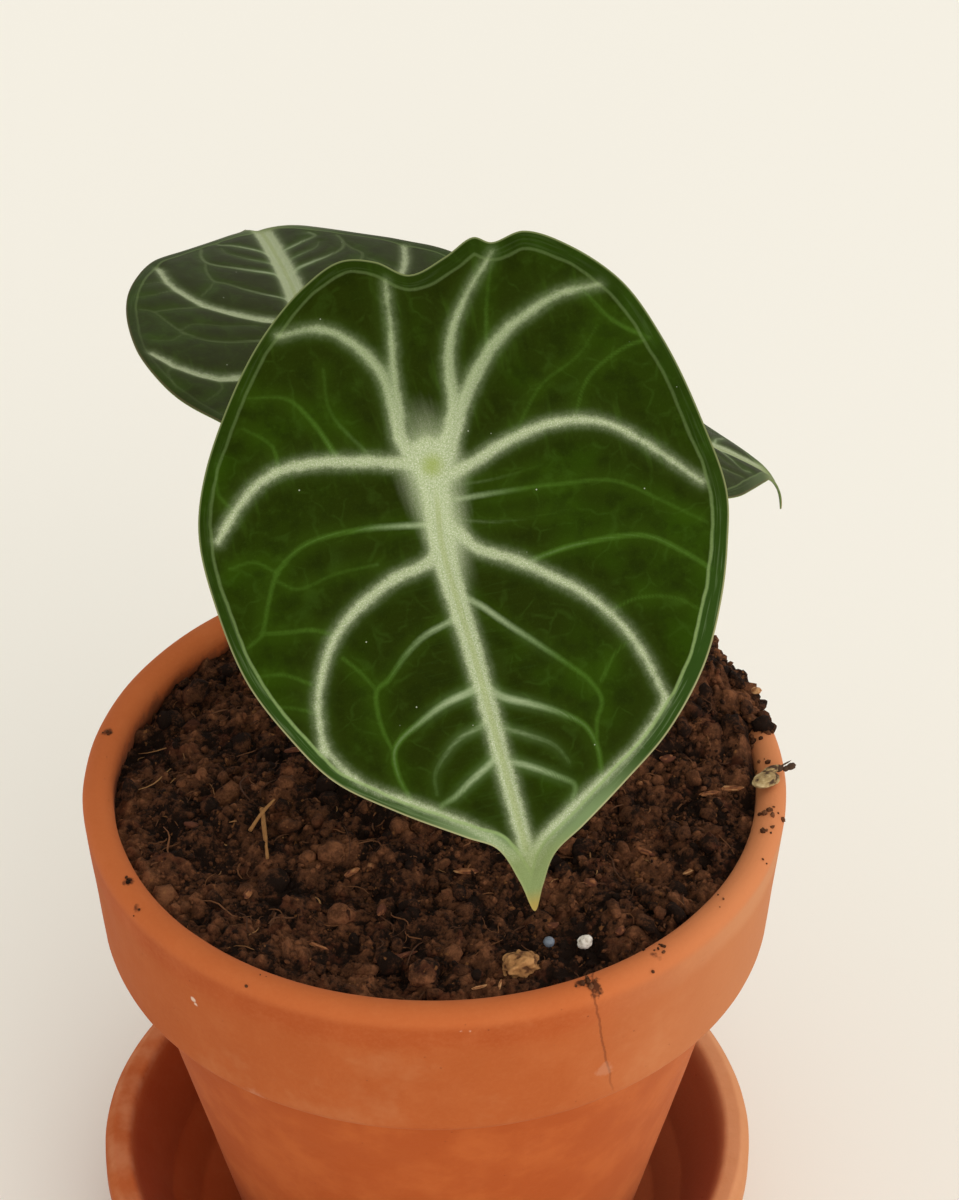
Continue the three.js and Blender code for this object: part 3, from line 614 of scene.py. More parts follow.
class Recipe:
    """A material being made: its shader and the nodes that feed it."""

    def __init__(self, name, **constants):
        self.material = bpy.data.materials.new(name)
        self.material.use_nodes = True
        self.nodes = self.material.node_tree.nodes
        self.links = self.material.node_tree.links
        self.shader = next(n for n in self.nodes if n.type == "BSDF_PRINCIPLED")
        for label, value in constants.items():
            self.input(label).default_value = value

    def input(self, label):
        """The shader's socket of a name such as base_color."""
        return next(s for s in self.shader.inputs if s.name.lower() == label.replace("_", " "))

    def join(self, socket, value):
        if isinstance(value, str):
            value = rgb(value)
        if isinstance(value, Field):
            self.links.new(value.socket, socket)
        elif isinstance(value, tuple) and len(value) == 3 and socket.type == "RGBA":
            socket.default_value = (*value, 1)
        else:
            socket.default_value = value

    def node(self, kind, settings=(), inputs=(), output=0):
        node = self.nodes.new("ShaderNode" + kind)
        for key, value in dict(settings).items():
            setattr(node, key, value)
        for key, value in dict(inputs).items():
            self.join(node.inputs[key], value)
        return Field(self, node.outputs[output])

    def place(self, stretch=(1, 1, 1)):
        """The surface's place in millimetres, stretched along each axis."""
        source = self.node("TexCoord", output="Object")
        scale = tuple(s / MM for s in stretch)
        return self.combined("MULTIPLY", source, scale)

    def axis(self, at, letter):
        return self.node("SeparateXYZ", {}, {0: at}, letter)

    def vector(self, x, y, z):
        return self.node("CombineXYZ", {}, {"X": x, "Y": y, "Z": z})

    def combined(self, operation, first, second):
        """Two vectors added, subtracted or multiplied."""
        return self.node("VectorMath", {"operation": operation}, {0: first, 1: second})

    def length(self, at):
        return self.node("VectorMath", {"operation": "LENGTH"}, {0: at}, "Value")

    def number(self, label):
        return self.node("Attribute", {"attribute_name": label}, output="Fac")

    def noise(self, at, size, detail=3.0, rough=0.55):
        """Noise between 0 and 1 with features of the given size in the units of its place."""
        inputs = {"Vector": at, "Scale": 1 / size, "Detail": detail, "Roughness": rough}
        return self.node("TexNoise", {}, inputs)

    def specks(self, at, size, radius):
        """Round specks, one to a cell, 1 at their middles."""
        away = self.node("TexVoronoi", {}, {"Vector": at, "Scale": 1 / size}, "Distance")
        return away.between(radius / size, 0.4 * radius / size)

    def mix(self, share, first, second):
        return self.node("Mix", {"data_type": "RGBA"}, {0: share, 6: first, 7: second}, 2)

    def layered(self, base, *layers):
        """Colours laid over a base, each with its share, the last on top."""
        for share, colour in layers:
            base = self.mix(share, base, colour)
        return base

    def bump(self, height, distance, strength=1.0):
        """Relief of the given depth in millimetres."""
        return self.node("Bump", {}, {"Height": height, "Distance": distance * MM, "Strength": strength})

    def done(self, **fields):
        for label, field in fields.items():
            self.join(self.input(label), field)
        return self.material


def spot(recipe, at, centre, radius, rag):
    """A soft, ragged spot round a place given from the rim's centre."""
    middle = tuple(float(c) for c in RIM_CENTRE + centre)
    length = recipe.length(recipe.combined("SUBTRACT", at, middle))
    return (length + (recipe.noise(at, 1.1, 2) - 0.5) * rag).between(radius, radius * 0.45)


def clay(name, deep, warm, pale, ringed):
    """Fired clay: mottled and paler in patches, with pores, a painted sheen that pales its right side, and
    faint turning marks.
    """
    recipe = Recipe(name, specular_ior_level=0.08, sheen_weight=0.02)
    at = recipe.place()
    patches = recipe.noise(at, 38, 3, 0.6)
    drift = recipe.noise(at, 9, 4, 0.65)
    grain = recipe.noise(at, 0.9, 3, 0.7)
    base = recipe.mix(patches.between(0.3, 0.7), deep, warm)
    base = recipe.layered(base, (drift.between(0.45, 0.75) * 0.35, pale),
                          (grain.between(0.35, 0.8) * 0.22, pale))
    # Painted sheen: the clay turns paler towards the right, the side the light falls on.
    sheen_on_right = (recipe.axis(at, "X") + (patches - 0.5) * 12).between(22, 64)
    base = recipe.mix(sheen_on_right * 0.64, base, "d39a6c")
    pores = recipe.specks(at, 2.6, 0.2) * recipe.noise(at, 7, 1).between(0.5, 0.62)
    base = recipe.mix(pores * 0.55, base, "6e3018")
    rings = recipe.noise(recipe.place((0.02, 0.02, 1)), 2.4, 3, 0.6)
    height = grain * 0.5 + drift * 0.35 + rings * ringed - pores * 1.2
    return recipe, at, base, height


# Properties

class ClayProperties(bpy.types.PropertyGroup):
    turn_steps: IntProperty(
        name="Turn steps", description="Faces round the pot", default=208, min=48, max=400)
    unevenness: FloatProperty(
        name="Unevenness", description="How far the thrown wall strays, in metres",
        default=0.18 * MM, unit="LENGTH", min=0, max=0.002)


class SoilProperties(bpy.types.PropertyGroup):
    cells: IntProperty(
        name="Cells", description="Cells across the soil's surface", default=280, min=60, max=300)
    lump_count: IntProperty(
        name="Lumps", description="Loose lumps on the soil", default=760, min=0, max=2000)
    crumb_count: IntProperty(
        name="Crumbs", description="Small crumbs on the soil", default=5200, min=0, max=9000)
    fibre_count: IntProperty(
        name="Fibres", description="Fibres and straws on the soil", default=430, min=0, max=900)
    seed: IntProperty(
        name="Seed", description="Start of the random draws", default=7)
    dark_colour: FloatVectorProperty(
        name="Peat", description="Colour of the moist peat", subtype="COLOR", size=3, min=0, max=1,
        default=rgb("1f120a"))


class LeafProperties(bpy.types.PropertyGroup):
    lamina_colour: FloatVectorProperty(
        name="Blade", description="Darkest colour of the upper face", subtype="COLOR", size=3, min=0, max=1,
        default=rgb("212b03"))
    vein_colour: FloatVectorProperty(
        name="Vein", description="Colour of the pale veins", subtype="COLOR", size=3, min=0, max=1,
        default=rgb("c4caa8"))
    quilt_height: FloatProperty(
        name="Quilting", description="How far the blade swells between its veins, in metres",
        default=QUILT_HEIGHT * MM, unit="LENGTH", min=0, max=0.003)


class StageProperties(bpy.types.PropertyGroup):
    floor_colour: FloatVectorProperty(
        name="Floor", description="Colour of the floor", subtype="COLOR", size=3, min=0, max=1,
        default=rgb("f3efe4"))
    sky_strength: FloatProperty(
        name="Sky", description="Strength of the even light", default=0.7, min=0)
    side_strength: FloatProperty(
        name="Side light", description="Strength of the light from the right", default=0.9, min=0)
    front_strength: FloatProperty(
        name="Front light", description="Strength of the low light in front", default=1.15, min=0)


# Clay pieces

def push_out(points, amounts, least):
    """Moves points away from the Z axis, and less where they're nearer to it than the least radius."""
    out = points[:, :2] / np.maximum(np.hypot(points[:, 0], points[:, 1]), least)[:, None]
    points[:, :2] += out * amounts[:, None]


def uneven(piece, amount, centre):
    """Lets a turned wall stray a little, as a thrown one does."""
    points = places(piece)
    stray = amount * (cloud(points * (1, 1, 0.6), 26) + 0.4 * cloud(points, 8, 2.0))
    push_out(points, stray, 1)
    set_places(piece, points + centre)


def pot_material():
    recipe, at, base, height = clay("pot_clay", "a84f22", "b55a2a", "c16f40", 0.5)
    upright = recipe.axis(at, "Z")
    ragged = recipe.noise(at, 14, 3, 0.6)
    collar = (upright + (ragged - 0.5) * 5).between(84.5, 88.5) * (upright + ragged * 4).between(112.5, 108.5)
    base = recipe.mix(collar * 0.4, base, "b36131")
    bloom = recipe.noise(at, 22, 4, 0.7).between(0.52, 0.72) * collar
    base = recipe.mix(bloom * 0.25, base, "c68558")
    # Painted highlight: the top of the lip is lighter, where the light falls on it.
    lip = upright.between(112.6, 115.2)
    base = recipe.mix(lip * 0.45, base, "cd7340")
    stem = (upright + (ragged - 0.5) * 2).between(86.4, 84.6)
    drift = recipe.noise(at, 12, 4, 0.6).between(0.4, 0.7)
    base = recipe.mix(stem * 0.8, base, recipe.mix(drift, "ac5122", "b95e2b"))

    # The hair crack that runs down the front of the collar, and the marks on and round it.
    across = recipe.axis(at, "X")
    front = recipe.axis(at, "Y").between(-40, -44)
    wander = (recipe.noise(recipe.place((0.2, 0.2, 1)), 4.5, 4, 0.7) - 0.5) * 1.3
    x, z, lean = CRACK_HEAD
    line = across + upright * lean - (POT_X + x + lean * z) + wander
    taper = upright.between(84, 100)
    crack = abs(line).between(0.3, 0.05) * front * upright.between(87, 90) * (0.15 + taper * 0.32)
    base = recipe.mix(crack, base, "5d2a17")
    for centre, radius, rag, strength, colour in POT_MARKS:
        base = recipe.mix(spot(recipe, at, centre, radius, rag) * strength, base, colour)

    # The inside of the wall is darker, up to a ragged line near the rim.
    inward = recipe.noise(at, 3, 4, 0.7)
    from_axis = recipe.combined("SUBTRACT", at, (POT_X, 0, 0))
    radius = recipe.length(recipe.combined("MULTIPLY", from_axis, (1, 1, 0)))
    inside = radius.between(60.4, 59.2) * upright.between(88, 89.5)
    inside = inside * (upright + inward * 6).between(117.5, 114.5)
    base = recipe.mix(inside * 0.7, base, "6a3d28")
    bumped = recipe.bump(height - crack * 1.5, 0.16, 0.8)
    return recipe.done(base_color=base, roughness=recipe.noise(at, 5, 3) * 0.2 + 0.7, normal=bumped)


def saucer_material():
    recipe, at, base, height = clay("saucer_clay", "ad5528", "bb6030", "c57446", 0.6)
    upright = recipe.axis(at, "Z")
    radius = recipe.length(recipe.combined("MULTIPLY", at, (1, 1, 0)))
    # Painted shade: the inside of the saucer, under its rim, is darkened.
    dish_shade = radius.between(60.2, 57.5) * upright.between(5.2, 5.8)
    base = recipe.mix(dish_shade * 0.7, base, "8a2f0a")
    # The top of the rim is paler in patches.
    rim_top_paler = upright.between(23.2, 24.4) * recipe.noise(at, 6, 3).between(0.3, 0.7)
    base = recipe.mix(rim_top_paler * 0.35, base, "d8996f")
    return recipe.done(base_color=base, roughness=recipe.noise(at, 5, 3) * 0.2 + 0.7,
                       normal=recipe.bump(height, 0.16, 0.8))


class ALOCASIA_OT_pot(bpy.types.Operator):
    """Turn the terracotta pot with its high collar"""
    bl_idname = "alocasia.pot"
    bl_label = "Pot"

    def execute(self, context):
        settings = context.scene.alocasia_clay
        piece = spun("clay_pot", POT_CORNERS, True, settings.turn_steps)
        uneven(piece, settings.unevenness / MM, (POT_X, 0, POT_FOOT_Z))
        finished(piece, "pot", "pot_clay", pot_material())
        return {"FINISHED"}


class ALOCASIA_OT_saucer(bpy.types.Operator):
    """Turn the terracotta saucer"""
    bl_idname = "alocasia.saucer"
    bl_label = "Saucer"

    def execute(self, context):
        settings = context.scene.alocasia_clay
        piece = spun("clay_saucer", SAUCER_CORNERS, False, settings.turn_steps)
        points = places(piece)
        held = points[:, 2] < SAUCER_FLAT
        uneven(piece, settings.unevenness / MM, (0, 0, 0))
        moved = places(piece)
        moved[held] = points[held]
        set_places(piece, moved)
        finished(piece, "saucer", "saucer_clay", saucer_material())
        return {"FINISHED"}


# Soil

def lattice(i, j):
    value = np.sin(i * 127.1 + j * 311.7 + 17.3) * 43758.5453
    return 2 * (value - np.floor(value)) - 1


def cell_noise(x, y):
    i, j = np.floor(x), np.floor(y)
    u, v = smooth(x - i, 0, 1), smooth(y - j, 0, 1)
    low = lattice(i, j) * (1 - u) + lattice(i + 1, j) * u
    high = lattice(i, j + 1) * (1 - u) + lattice(i + 1, j + 1) * u
    return low * (1 - v) + high * v


def soil_height(x, y):
    """Height of the soil: low at the back left, level in front, heaped at the back right."""
    def bump(dx, dy, spread):
        return np.exp(-(dx * dx + dy * dy) / (2 * spread * spread))

    heap = SOIL_HEAP["height"] * bump(x - SOIL_HEAP["x"], y - SOIL_HEAP["y"], SOIL_HEAP["spread"])
    middle = SOIL_MIDDLE["height"] * bump(x, y, SOIL_MIDDLE["spread"])
    hollow = SOIL_HOLLOW * smooth(0.6 * y - x, 20, 70)
    u, v = x / SOIL_CELL, y / SOIL_CELL
    lumps = cell_noise(u, v) + 0.6 * cell_noise(2 * u + 9, 2 * v)
    return SOIL_LEVEL + heap - hollow + middle + 0.5 * SOIL_CELL_HEIGHT * lumps


def soil_surface(x, y):
    """The crumbly surface: its height, and how deep in the creases each point lies."""
    flat = np.c_[x, y, np.zeros(len(x))]
    # Without a seed this noise would start from the clock, and differ in each run.
    noise.seed_set(WARP_SEED)
    warp = np.array([noise.noise_vector(Vector(p) / 6) for p in flat]) * 2.6
    torn = np.array([noise.noise_vector(Vector(p) / 1.7) for p in flat]) * 0.9
    big = clods(flat + warp + 0.6 * torn, CRUMB_SIZES[0])
    small = clods(flat + 0.6 * warp + torn, CRUMB_SIZES[1], 4.0)
    fine = cloud(flat, CRUMB_SIZES[2], 2.0)
    finest = cloud(flat, CRUMB_SIZES[3], 9.0)
    height = soil_height(x, y) + CRUMB_RISES @ np.array([big, small, fine, finest]) - 0.5
    return height, big + 0.7 * small + 0.5 * fine + 0.3 * finest


def soil_material(name, dark, pale):
    recipe = Recipe(name, specular_ior_level=0.12)
    at = recipe.place()
    fine = recipe.noise(at, 0.55, 4, 0.75)
    medium = recipe.noise(at, 1.8, 4, 0.7)
    coarse = recipe.noise(at, 9.0, 3, 0.6)
    # The colour follows the tone: on the soil's surface and the clod that paints shade in creases and hollows
    # and paler tops; on lumps and crumbs the tone is drawn at random.
    shade = recipe.number("tone") * 0.8 + (fine - 0.5) * 1.0 + (medium - 0.5) * 1.3 + (coarse - 0.5) * 1.9
    base = recipe.mix(shade.between(0.02, 0.5), dark, "5a3722")
    base = recipe.layered(base, (shade.between(0.45, 0.95), "865537"), (shade.between(0.95, 1.4), pale))
    reddish = recipe.noise(at, 4.2, 3, 0.6).between(0.55, 0.7)
    base = recipe.mix(reddish * 0.4, base, "693823")
    chips = recipe.noise(recipe.place((1, 0.6, 1)), 1.3, 2, 0.5).between(0.68, 0.74)
    base = recipe.mix(chips * 0.7, base, "8e5c34")
    return recipe.done(base_color=base, roughness=0.92, normal=recipe.bump(fine + medium * 0.5, 0.6, 1.0))


class ALOCASIA_OT_soil(bpy.types.Operator):
    """Fill the pot with peaty soil down to its drain hole"""
    bl_idname = "alocasia.soil"
    bl_label = "Soil"

    def execute(self, context):
        settings = context.scene.alocasia_soil
        cells = settings.cells
        piece = grid("potting_soil", cells, cells)
        square = places(piece)[:, :2] / places(piece)[:, :2].max()
        # The square grid is eased into a round one.
        x = square[:, 0] * np.sqrt(1 - 0.5 * square[:, 1] ** 2)
        y = square[:, 1] * np.sqrt(1 - 0.5 * square[:, 0] ** 2)
        x, y = x * (WALL_R - 0.1), y * (WALL_R - 0.1)
        height, crease = soil_surface(x, y)
        # The soil sinks a little at the wall, but not where it's heaped over the rim.
        heaped = smooth(soil_height(x, y), -0.8, 2.0)
        edge = smooth(np.hypot(x, y), WALL_R - 2.5, WALL_R)
        over = np.maximum(0, height + 2.0) * smooth(np.hypot(x, y), WALL_R - 1.5, WALL_R)
        height -= (1 - heaped) * (0.7 * edge + 0.65 * over) + 0.5 * edge * heaped
        set_places(piece, np.c_[x, y, height])
        # Painted shade and highlight: the tone is higher on the clods' tops and lower in the creases between
        # them, and the soil's colour follows it.
        keep(piece, "tone", np.clip(0.35 + 0.75 * crease, 0, 1))
        with editing(piece, "DESELECT"):
            bpy.ops.mesh.select_non_manifold()
            for radius, level in SOIL_SIDE:
                bpy.ops.mesh.extrude_edges_move()
                mesh = bmesh.from_edit_mesh(piece.data)
                for vertex in mesh.verts:
                    if vertex.select:
                        share = radius * MM / math.hypot(vertex.co.x, vertex.co.y)
                        vertex.co.x *= share
                        vertex.co.y *= share
                        vertex.co.z = (level - POT_HEIGHT) * MM
                bmesh.update_edit_mesh(piece.data)
            bpy.ops.mesh.edge_face_add()
        set_places(piece, places(piece) + RIM_CENTRE)
        material = soil_material("potting_soil", tuple(settings.dark_colour), "9c6b45")
        finished(piece, "soil", "soil", material, angle=180)
        return {"FINISHED"}


def broken(subdivisions, rough, seed):
    """The vertices and faces of a crumb about 1 mm in half size."""
    deselect()
    bpy.ops.mesh.primitive_ico_sphere_add(subdivisions=subdivisions, radius=MM)
    piece = added("crumb")
    points = places(piece)
    points *= (1 + rough * cloud(points, 0.9, seed))[:, None]
    faces = [tuple(face.vertices) for face in piece.data.polygons]
    bpy.data.objects.remove(piece)
    return points, faces


def scattered(name, shapes, spots):
    """One piece of many copies; a spot is a shape's number, a place, three sizes, three turns, a tone."""
    points, faces, tones = [], [], []
    start = 0
    for number, place, sizes, turns, tone in spots:
        shape, shape_faces = shapes[number]
        sines, cosines = np.sin(turns), np.cos(turns)
        spin = np.array([[cosines[2], -sines[2], 0], [sines[2], cosines[2], 0], [0, 0, 1]])
        tilt = np.array([[1, 0, 0], [0, cosines[0], -sines[0]], [0, sines[0], cosines[0]]])
        lean = np.array([[cosines[1], 0, sines[1]], [0, 1, 0], [-sines[1], 0, cosines[1]]])
        points.append((shape * sizes) @ (spin @ tilt @ lean).T + place)
        faces += [tuple(index + start for index in face) for face in shape_faces]
        tones.append(np.full(len(shape), tone))
        start += len(shape)
    mesh = bpy.data.meshes.new(name)
    mesh.from_pydata(np.concatenate(points) * MM, [], faces)
    piece = bpy.data.objects.new(name, mesh)
    bpy.context.scene.collection.objects.link(piece)
    keep(piece, "tone", np.concatenate(tones))
    return piece


def on_soil(draw, count):
    """Random places on the soil, closer together on the heap."""
    spots = []
    while len(spots) < count:
        x, y = draw.uniform(-LITTER_R, LITTER_R, 2)
        if math.hypot(x, y) > LITTER_R:
            continue
        off = math.hypot(x - LITTER_HEAP["x"], y - LITTER_HEAP["y"])
        share = 0.7 + 0.65 * math.exp(-off ** 2 / LITTER_HEAP["spread"])
        if math.hypot(x, y) < STALKS_R or draw.random() > share:
            continue
        spots.append((x, y))
    spots = np.array(spots)
    return np.c_[spots, soil_surface(spots[:, 0], spots[:, 1])[0]]


class ALOCASIA_OT_crumbs(bpy.types.Operator):
    """Scatter lumps, crumbs and stray grains over the soil and the rim"""
    bl_idname = "alocasia.crumbs"
    bl_label = "Crumbs"

    def execute(self, context):
        settings = context.scene.alocasia_soil
        draw = np.random.default_rng(settings.seed)
        dark = tuple(settings.dark_colour)
        lumps = [broken(2, 0.62, seed) for seed in range(1, SHAPE_COUNT + 1)]
        crumbs = [broken(1, 0.6, seed) for seed in range(1, SHAPE_COUNT + 1)]

        def spilt(count, size):
            """Places on the lip where the heap has spilt over it."""
            for _ in range(count):
                angle = math.radians(draw.uniform(*SPILL["angles"]))
                off = abs(draw.normal(0, SPILL["spread"]))
                radius = WALL_R - 0.6 + off
                if radius > LIP_R + LIP_ROUND - 0.5:
                    continue
                x, y = radius * math.cos(angle), radius * math.sin(angle)
                lip = math.sqrt(max(0.0, LIP_ROUND**2 - (radius - LIP_R) ** 2)) - LIP_ROUND
                heaped = max(0.0, soil_height(x, y)) * max(0.0, 1 - off / SPILL["reach"])
                grain = size * (0.5 + draw.random())
                yield np.array([x, y, lip + heaped * draw.random() + 0.35 * grain]), grain

        def piled(kind, count):
            """Spots for one kind of grain, on the soil and on the lip beside the heap."""
            lift, least, more, power, spilt_size, widest, tones = GRAINS[kind]
            piles = [(place + (0, 0, lift), least + more * draw.random() ** power)
                     for place in on_soil(draw, count)]
            for place, size in piles + list(spilt(SPILL[kind], spilt_size)):
                sizes = size * draw.uniform(0.6, widest, 3)
                yield (draw.integers(SHAPE_COUNT), place + RIM_CENTRE, sizes,
                       draw.uniform(0, math.tau, 3), draw.beta(*tones))

        spots = list(piled("lumps", settings.lump_count))
        material = soil_material("soil_lumps", dark, "a06f48")
        finished(scattered("soil_lumps", lumps, spots), None, "soil", material, angle=180)

        spots = list(piled("crumbs", settings.crumb_count))
        # Stray crumbs that lie on the lip, in groups.
        for centre, spread, count, size in STRAYS:
            for _ in range(count):
                x, y = np.array(centre) + draw.normal(0, spread, 2)
                off = math.hypot(x, y) - LIP_R
                if abs(off) > LIP_ROUND - 0.2:
                    continue
                top = math.sqrt(LIP_ROUND**2 - off**2) - LIP_ROUND
                grain = size * draw.uniform(0.4, 1.3)
                spots.append((draw.integers(SHAPE_COUNT), RIM_CENTRE + (x, y, top + 0.3 * grain),
                              grain * draw.uniform(0.6, 1.3, 3), draw.uniform(0, math.tau, 3),
                              draw.beta(2.4, 2)))
        material = soil_material("soil_crumbs", dark, "ac7b50")
        finished(scattered("soil_crumbs", crumbs, spots), None, "soil", material, angle=180)
        return {"FINISHED"}


class ALOCASIA_OT_fibres(bpy.types.Operator):
    """Lay peat fibres and bits of straw on the soil"""
    bl_idname = "alocasia.fibres"
    bl_label = "Fibres"

    def execute(self, context):
        settings = context.scene.alocasia_soil
        draw = np.random.default_rng(settings.seed + 1)
        steps, sides = 6, 5
        ring = np.array([(math.cos(a), math.sin(a)) for a in np.arange(sides) * math.tau / sides])
        pairs = [(k, (k + 1) % sides) for k in range(sides)]
        faces = [(i * sides + k, i * sides + after, (i + 1) * sides + after, (i + 1) * sides + k)
                 for i in range(steps) for k, after in pairs]
        faces += [tuple(reversed(range(sides))), tuple(range(steps * sides, (steps + 1) * sides))]
        shapes, spots = [], []
        t = np.linspace(-1, 1, steps + 1)
        for place in on_soil(draw, settings.fibre_count):
            half = 0.5 * (FIBRE["length"] + FIBRE["longer"] * draw.random() ** 3)
            bow, wave = draw.normal(0, FIBRE["bow"]), draw.normal(0, FIBRE["wave"])
            flat = np.c_[t * half, bow * half * (1 - t * t) + wave * half * np.sin(math.pi * t), 0 * t]
            turn = draw.uniform(0, math.tau)
            lean = draw.normal(0, FIBRE["lean"])
            x = place[0] + flat[:, 0] * math.cos(turn) - flat[:, 1] * math.sin(turn)
            y = place[1] + flat[:, 0] * math.sin(turn) + flat[:, 1] * math.cos(turn)
            z = place[2] + 0.35 + lean * flat[:, 0] - 0.25 * t * t
            if np.hypot(x, y).max() >= WALL_R - 1:
                continue
            line = np.c_[x, y, z]
            forward = unit(np.gradient(line, axis=0))
            side = unit(np.cross(forward, (0, 0, 1)))
            up = np.cross(side, forward)
            thick = draw.uniform(*FIBRE["radius"]) * (1 - 0.45 * np.abs(t))
            wide = draw.choice([1.0, 1.0, 1.8])
            round_it = side[:, None] * ring[None, :, :1] * wide + up[:, None] * ring[None, :, 1:]
            tube = line[:, None] + round_it * thick[:, None, None]
            shapes.append((tube.reshape(-1, 3) + RIM_CENTRE, faces))
            spots.append((len(shapes) - 1, np.zeros(3), np.ones(3), np.zeros(3), draw.beta(1.1, 2.0)))
        piece = scattered("peat_fibres", shapes, spots)
        recipe = Recipe("peat_fibres", specular_ior_level=0.25)
        tone = recipe.number("tone")
        base = recipe.mix(tone.between(0.0, 0.6), "412616", "7a4d2c")
        base = recipe.layered(base, (tone.between(0.62, 0.95), "b98a55"),
                              (recipe.noise(recipe.place(), 1.2, 2) * 0.5, "5e3a20"))
        finished(piece, None, "bark", recipe.done(base_color=base, roughness=0.8), angle=180)
        return {"FINISHED"}


# Loose bits

def lump(name, half, turn, centre, rough, seed, shift=(0, 0, 0), subdivisions=5, tint=0.0):
    """A broken lump with crevices, shifted and turned in degrees, and placed from the rim's centre."""
    deselect()
    bpy.ops.mesh.primitive_ico_sphere_add(subdivisions=subdivisions, radius=MM)
    piece = added(name)
    ball = places(piece)
    relief = 1 + rough * (0.35 * cloud(ball, 0.75, seed) + 0.22 * cloud(ball, 0.3, seed + 1)) \
        + 0.1 * rough * clods(ball, 0.24, seed)
    with editing(piece):
        bpy.ops.transform.resize(value=half)
    points = places(piece) * relief[:, None] + shift
    set_places(piece, points)
    with editing(piece):
        bpy.ops.transform.rotate(value=-math.radians(turn), orient_axis="Z", center_override=(0, 0, 0))
    set_places(piece, places(piece) + np.array(centre) + RIM_CENTRE)
    # Painted shade: the tone falls in the crevices and rises on the bulges, so the colour darkens in the
    # crevices.
    keep(piece, "tone", np.clip(0.5 + 3 * (relief - 1), 0, 1) + tint)
    return piece


def bark_material(name, dark, main, pale):
    recipe = Recipe(name, specular_ior_level=0.22)
    at = recipe.place()
    tone = recipe.number("tone") + (recipe.noise(at, 1.1, 4, 0.7) - 0.5) * 1.1
    base = recipe.mix(tone.between(0.1, 0.55), dark, main)
    base = recipe.mix(tone.between(0.55, 0.95), base, pale)
    relief = recipe.bump(recipe.noise(at, 0.5, 4), 0.3, 0.8)
    return recipe.done(base_color=base, roughness=0.88, normal=relief)


class ALOCASIA_OT_bits(bpy.types.Operator):
    """Model the bark, perlite, clod, straw and rim chip that lie on the soil"""
    bl_idname = "alocasia.bits"
    bl_label = "Loose bits"

    def execute(self, context):
        dark = tuple(context.scene.alocasia_soil.dark_colour)
        materials = {
            "bark_chunk": bark_material("bark_tan", "5a3820", "9d6f42", "bd8a56"),
            "perlite_grain": bark_material("perlite", "a89a88", "ddd3c6", "efe9e0"),
            "soil_clod": soil_material("soil_clod", dark, "9a6540"),
        }
        for node, (slot, at, half, turn, rough) in BITS.items():
            height = soil_height(*at) + 0.35 * half[2]
            piece = lump(node + "_fine", half, turn, (*at, height), rough, turn)
            finished(piece, node, slot, materials[node], angle=70)

        angle, radius = math.radians(RIM_CHIP["angle"]), RIM_CHIP["radius"]
        centre = (radius * math.cos(angle), radius * math.sin(angle), RIM_CHIP["height"])
        chip = joined([lump("chip", half, RIM_CHIP["turn"], centre, 0.5, seed, shift, 4, tint)
                       for seed, (half, shift, tint) in enumerate(CHIP_PARTS)], "rim_chip_fine")
        finished(chip, "rim_chip", "bark", bark_material("chip_grey", "4a3526", "a58a5e", "c9b183"))

        # A straw with a second one across it.
        x, y = TWIG["at"]
        z = soil_height(x, y) + TWIG["lift"]
        turn = math.radians(TWIG["turn"])
        half = TWIG["length"] / 2

        def stick(name, start, end, radius):
            middle = (np.array(start) + np.array(end)) / 2 + (0, 0, 0.5)
            c, s = math.cos(turn), math.sin(turn)
            turned = [RIM_CENTRE + (x + px * c - py * s, y + px * s + py * c, z + pz)
                      for px, py, pz in (start, middle, end)]
            return swept(name, turned, [radius, radius, 0.6 * radius], 10, 26, 0.1)

        straws = [
            stick("straw", (-half, 0, 0.4), (half, 0, -0.1), 0.42),
            stick("second_straw", (-1.2, -2.6, 0.1), (-8.4, 2.4, 0.8), 0.34),
        ]
        piece = joined(straws, "twig_fine")
        keep(piece, "tone", np.full(len(piece.data.vertices), 0.55))
        finished(piece, "twig", "bark", bark_material("straw", "6b4526", "9a6c3e", "bb8c58"))

        bits = []
        for seed, ((x, y), half, turn, tone) in enumerate(WOOD_BITS):
            level = float(soil_surface(np.array([x]), np.array([y]))[0][0])
            centre = (x, y, level + 0.5 * half[2] + 0.2)
            bits.append(lump("bit", half, turn, centre, 0.6, seed, subdivisions=3, tint=0.9 * tone - 0.5))
        wood = bark_material("wood_bits", "5a3220", "8f5a36", "b98a5c")
        finished(joined(bits, "wood_bits"), None, "bark", wood)

        # A small grey bead lies beside the perlite.
        bead = lump("feed_bead", (1.0, 1.0, 0.95), 0, (20.4, -44.6, -1.5), 0.06, 5)
        recipe = Recipe("feed_bead", roughness=0.3)
        shade = recipe.mix(recipe.noise(recipe.place(), 0.8, 2), "4d5560", "7d8794")
        finished(bead, None, "perlite", recipe.done(base_color=shade))
        return {"FINISHED"}


# Leaves

def outline_fine(steps=24):
    return centripetal(OUTLINE, True, steps)


def outline_at(index, steps=24):
    fine = outline_fine(steps)
    at = (index * steps) % len(fine)
    low = int(math.floor(at))
    share = at - low
    return fine[low % len(fine)] * (1 - share) + fine[(low + 1) % len(fine)] * share


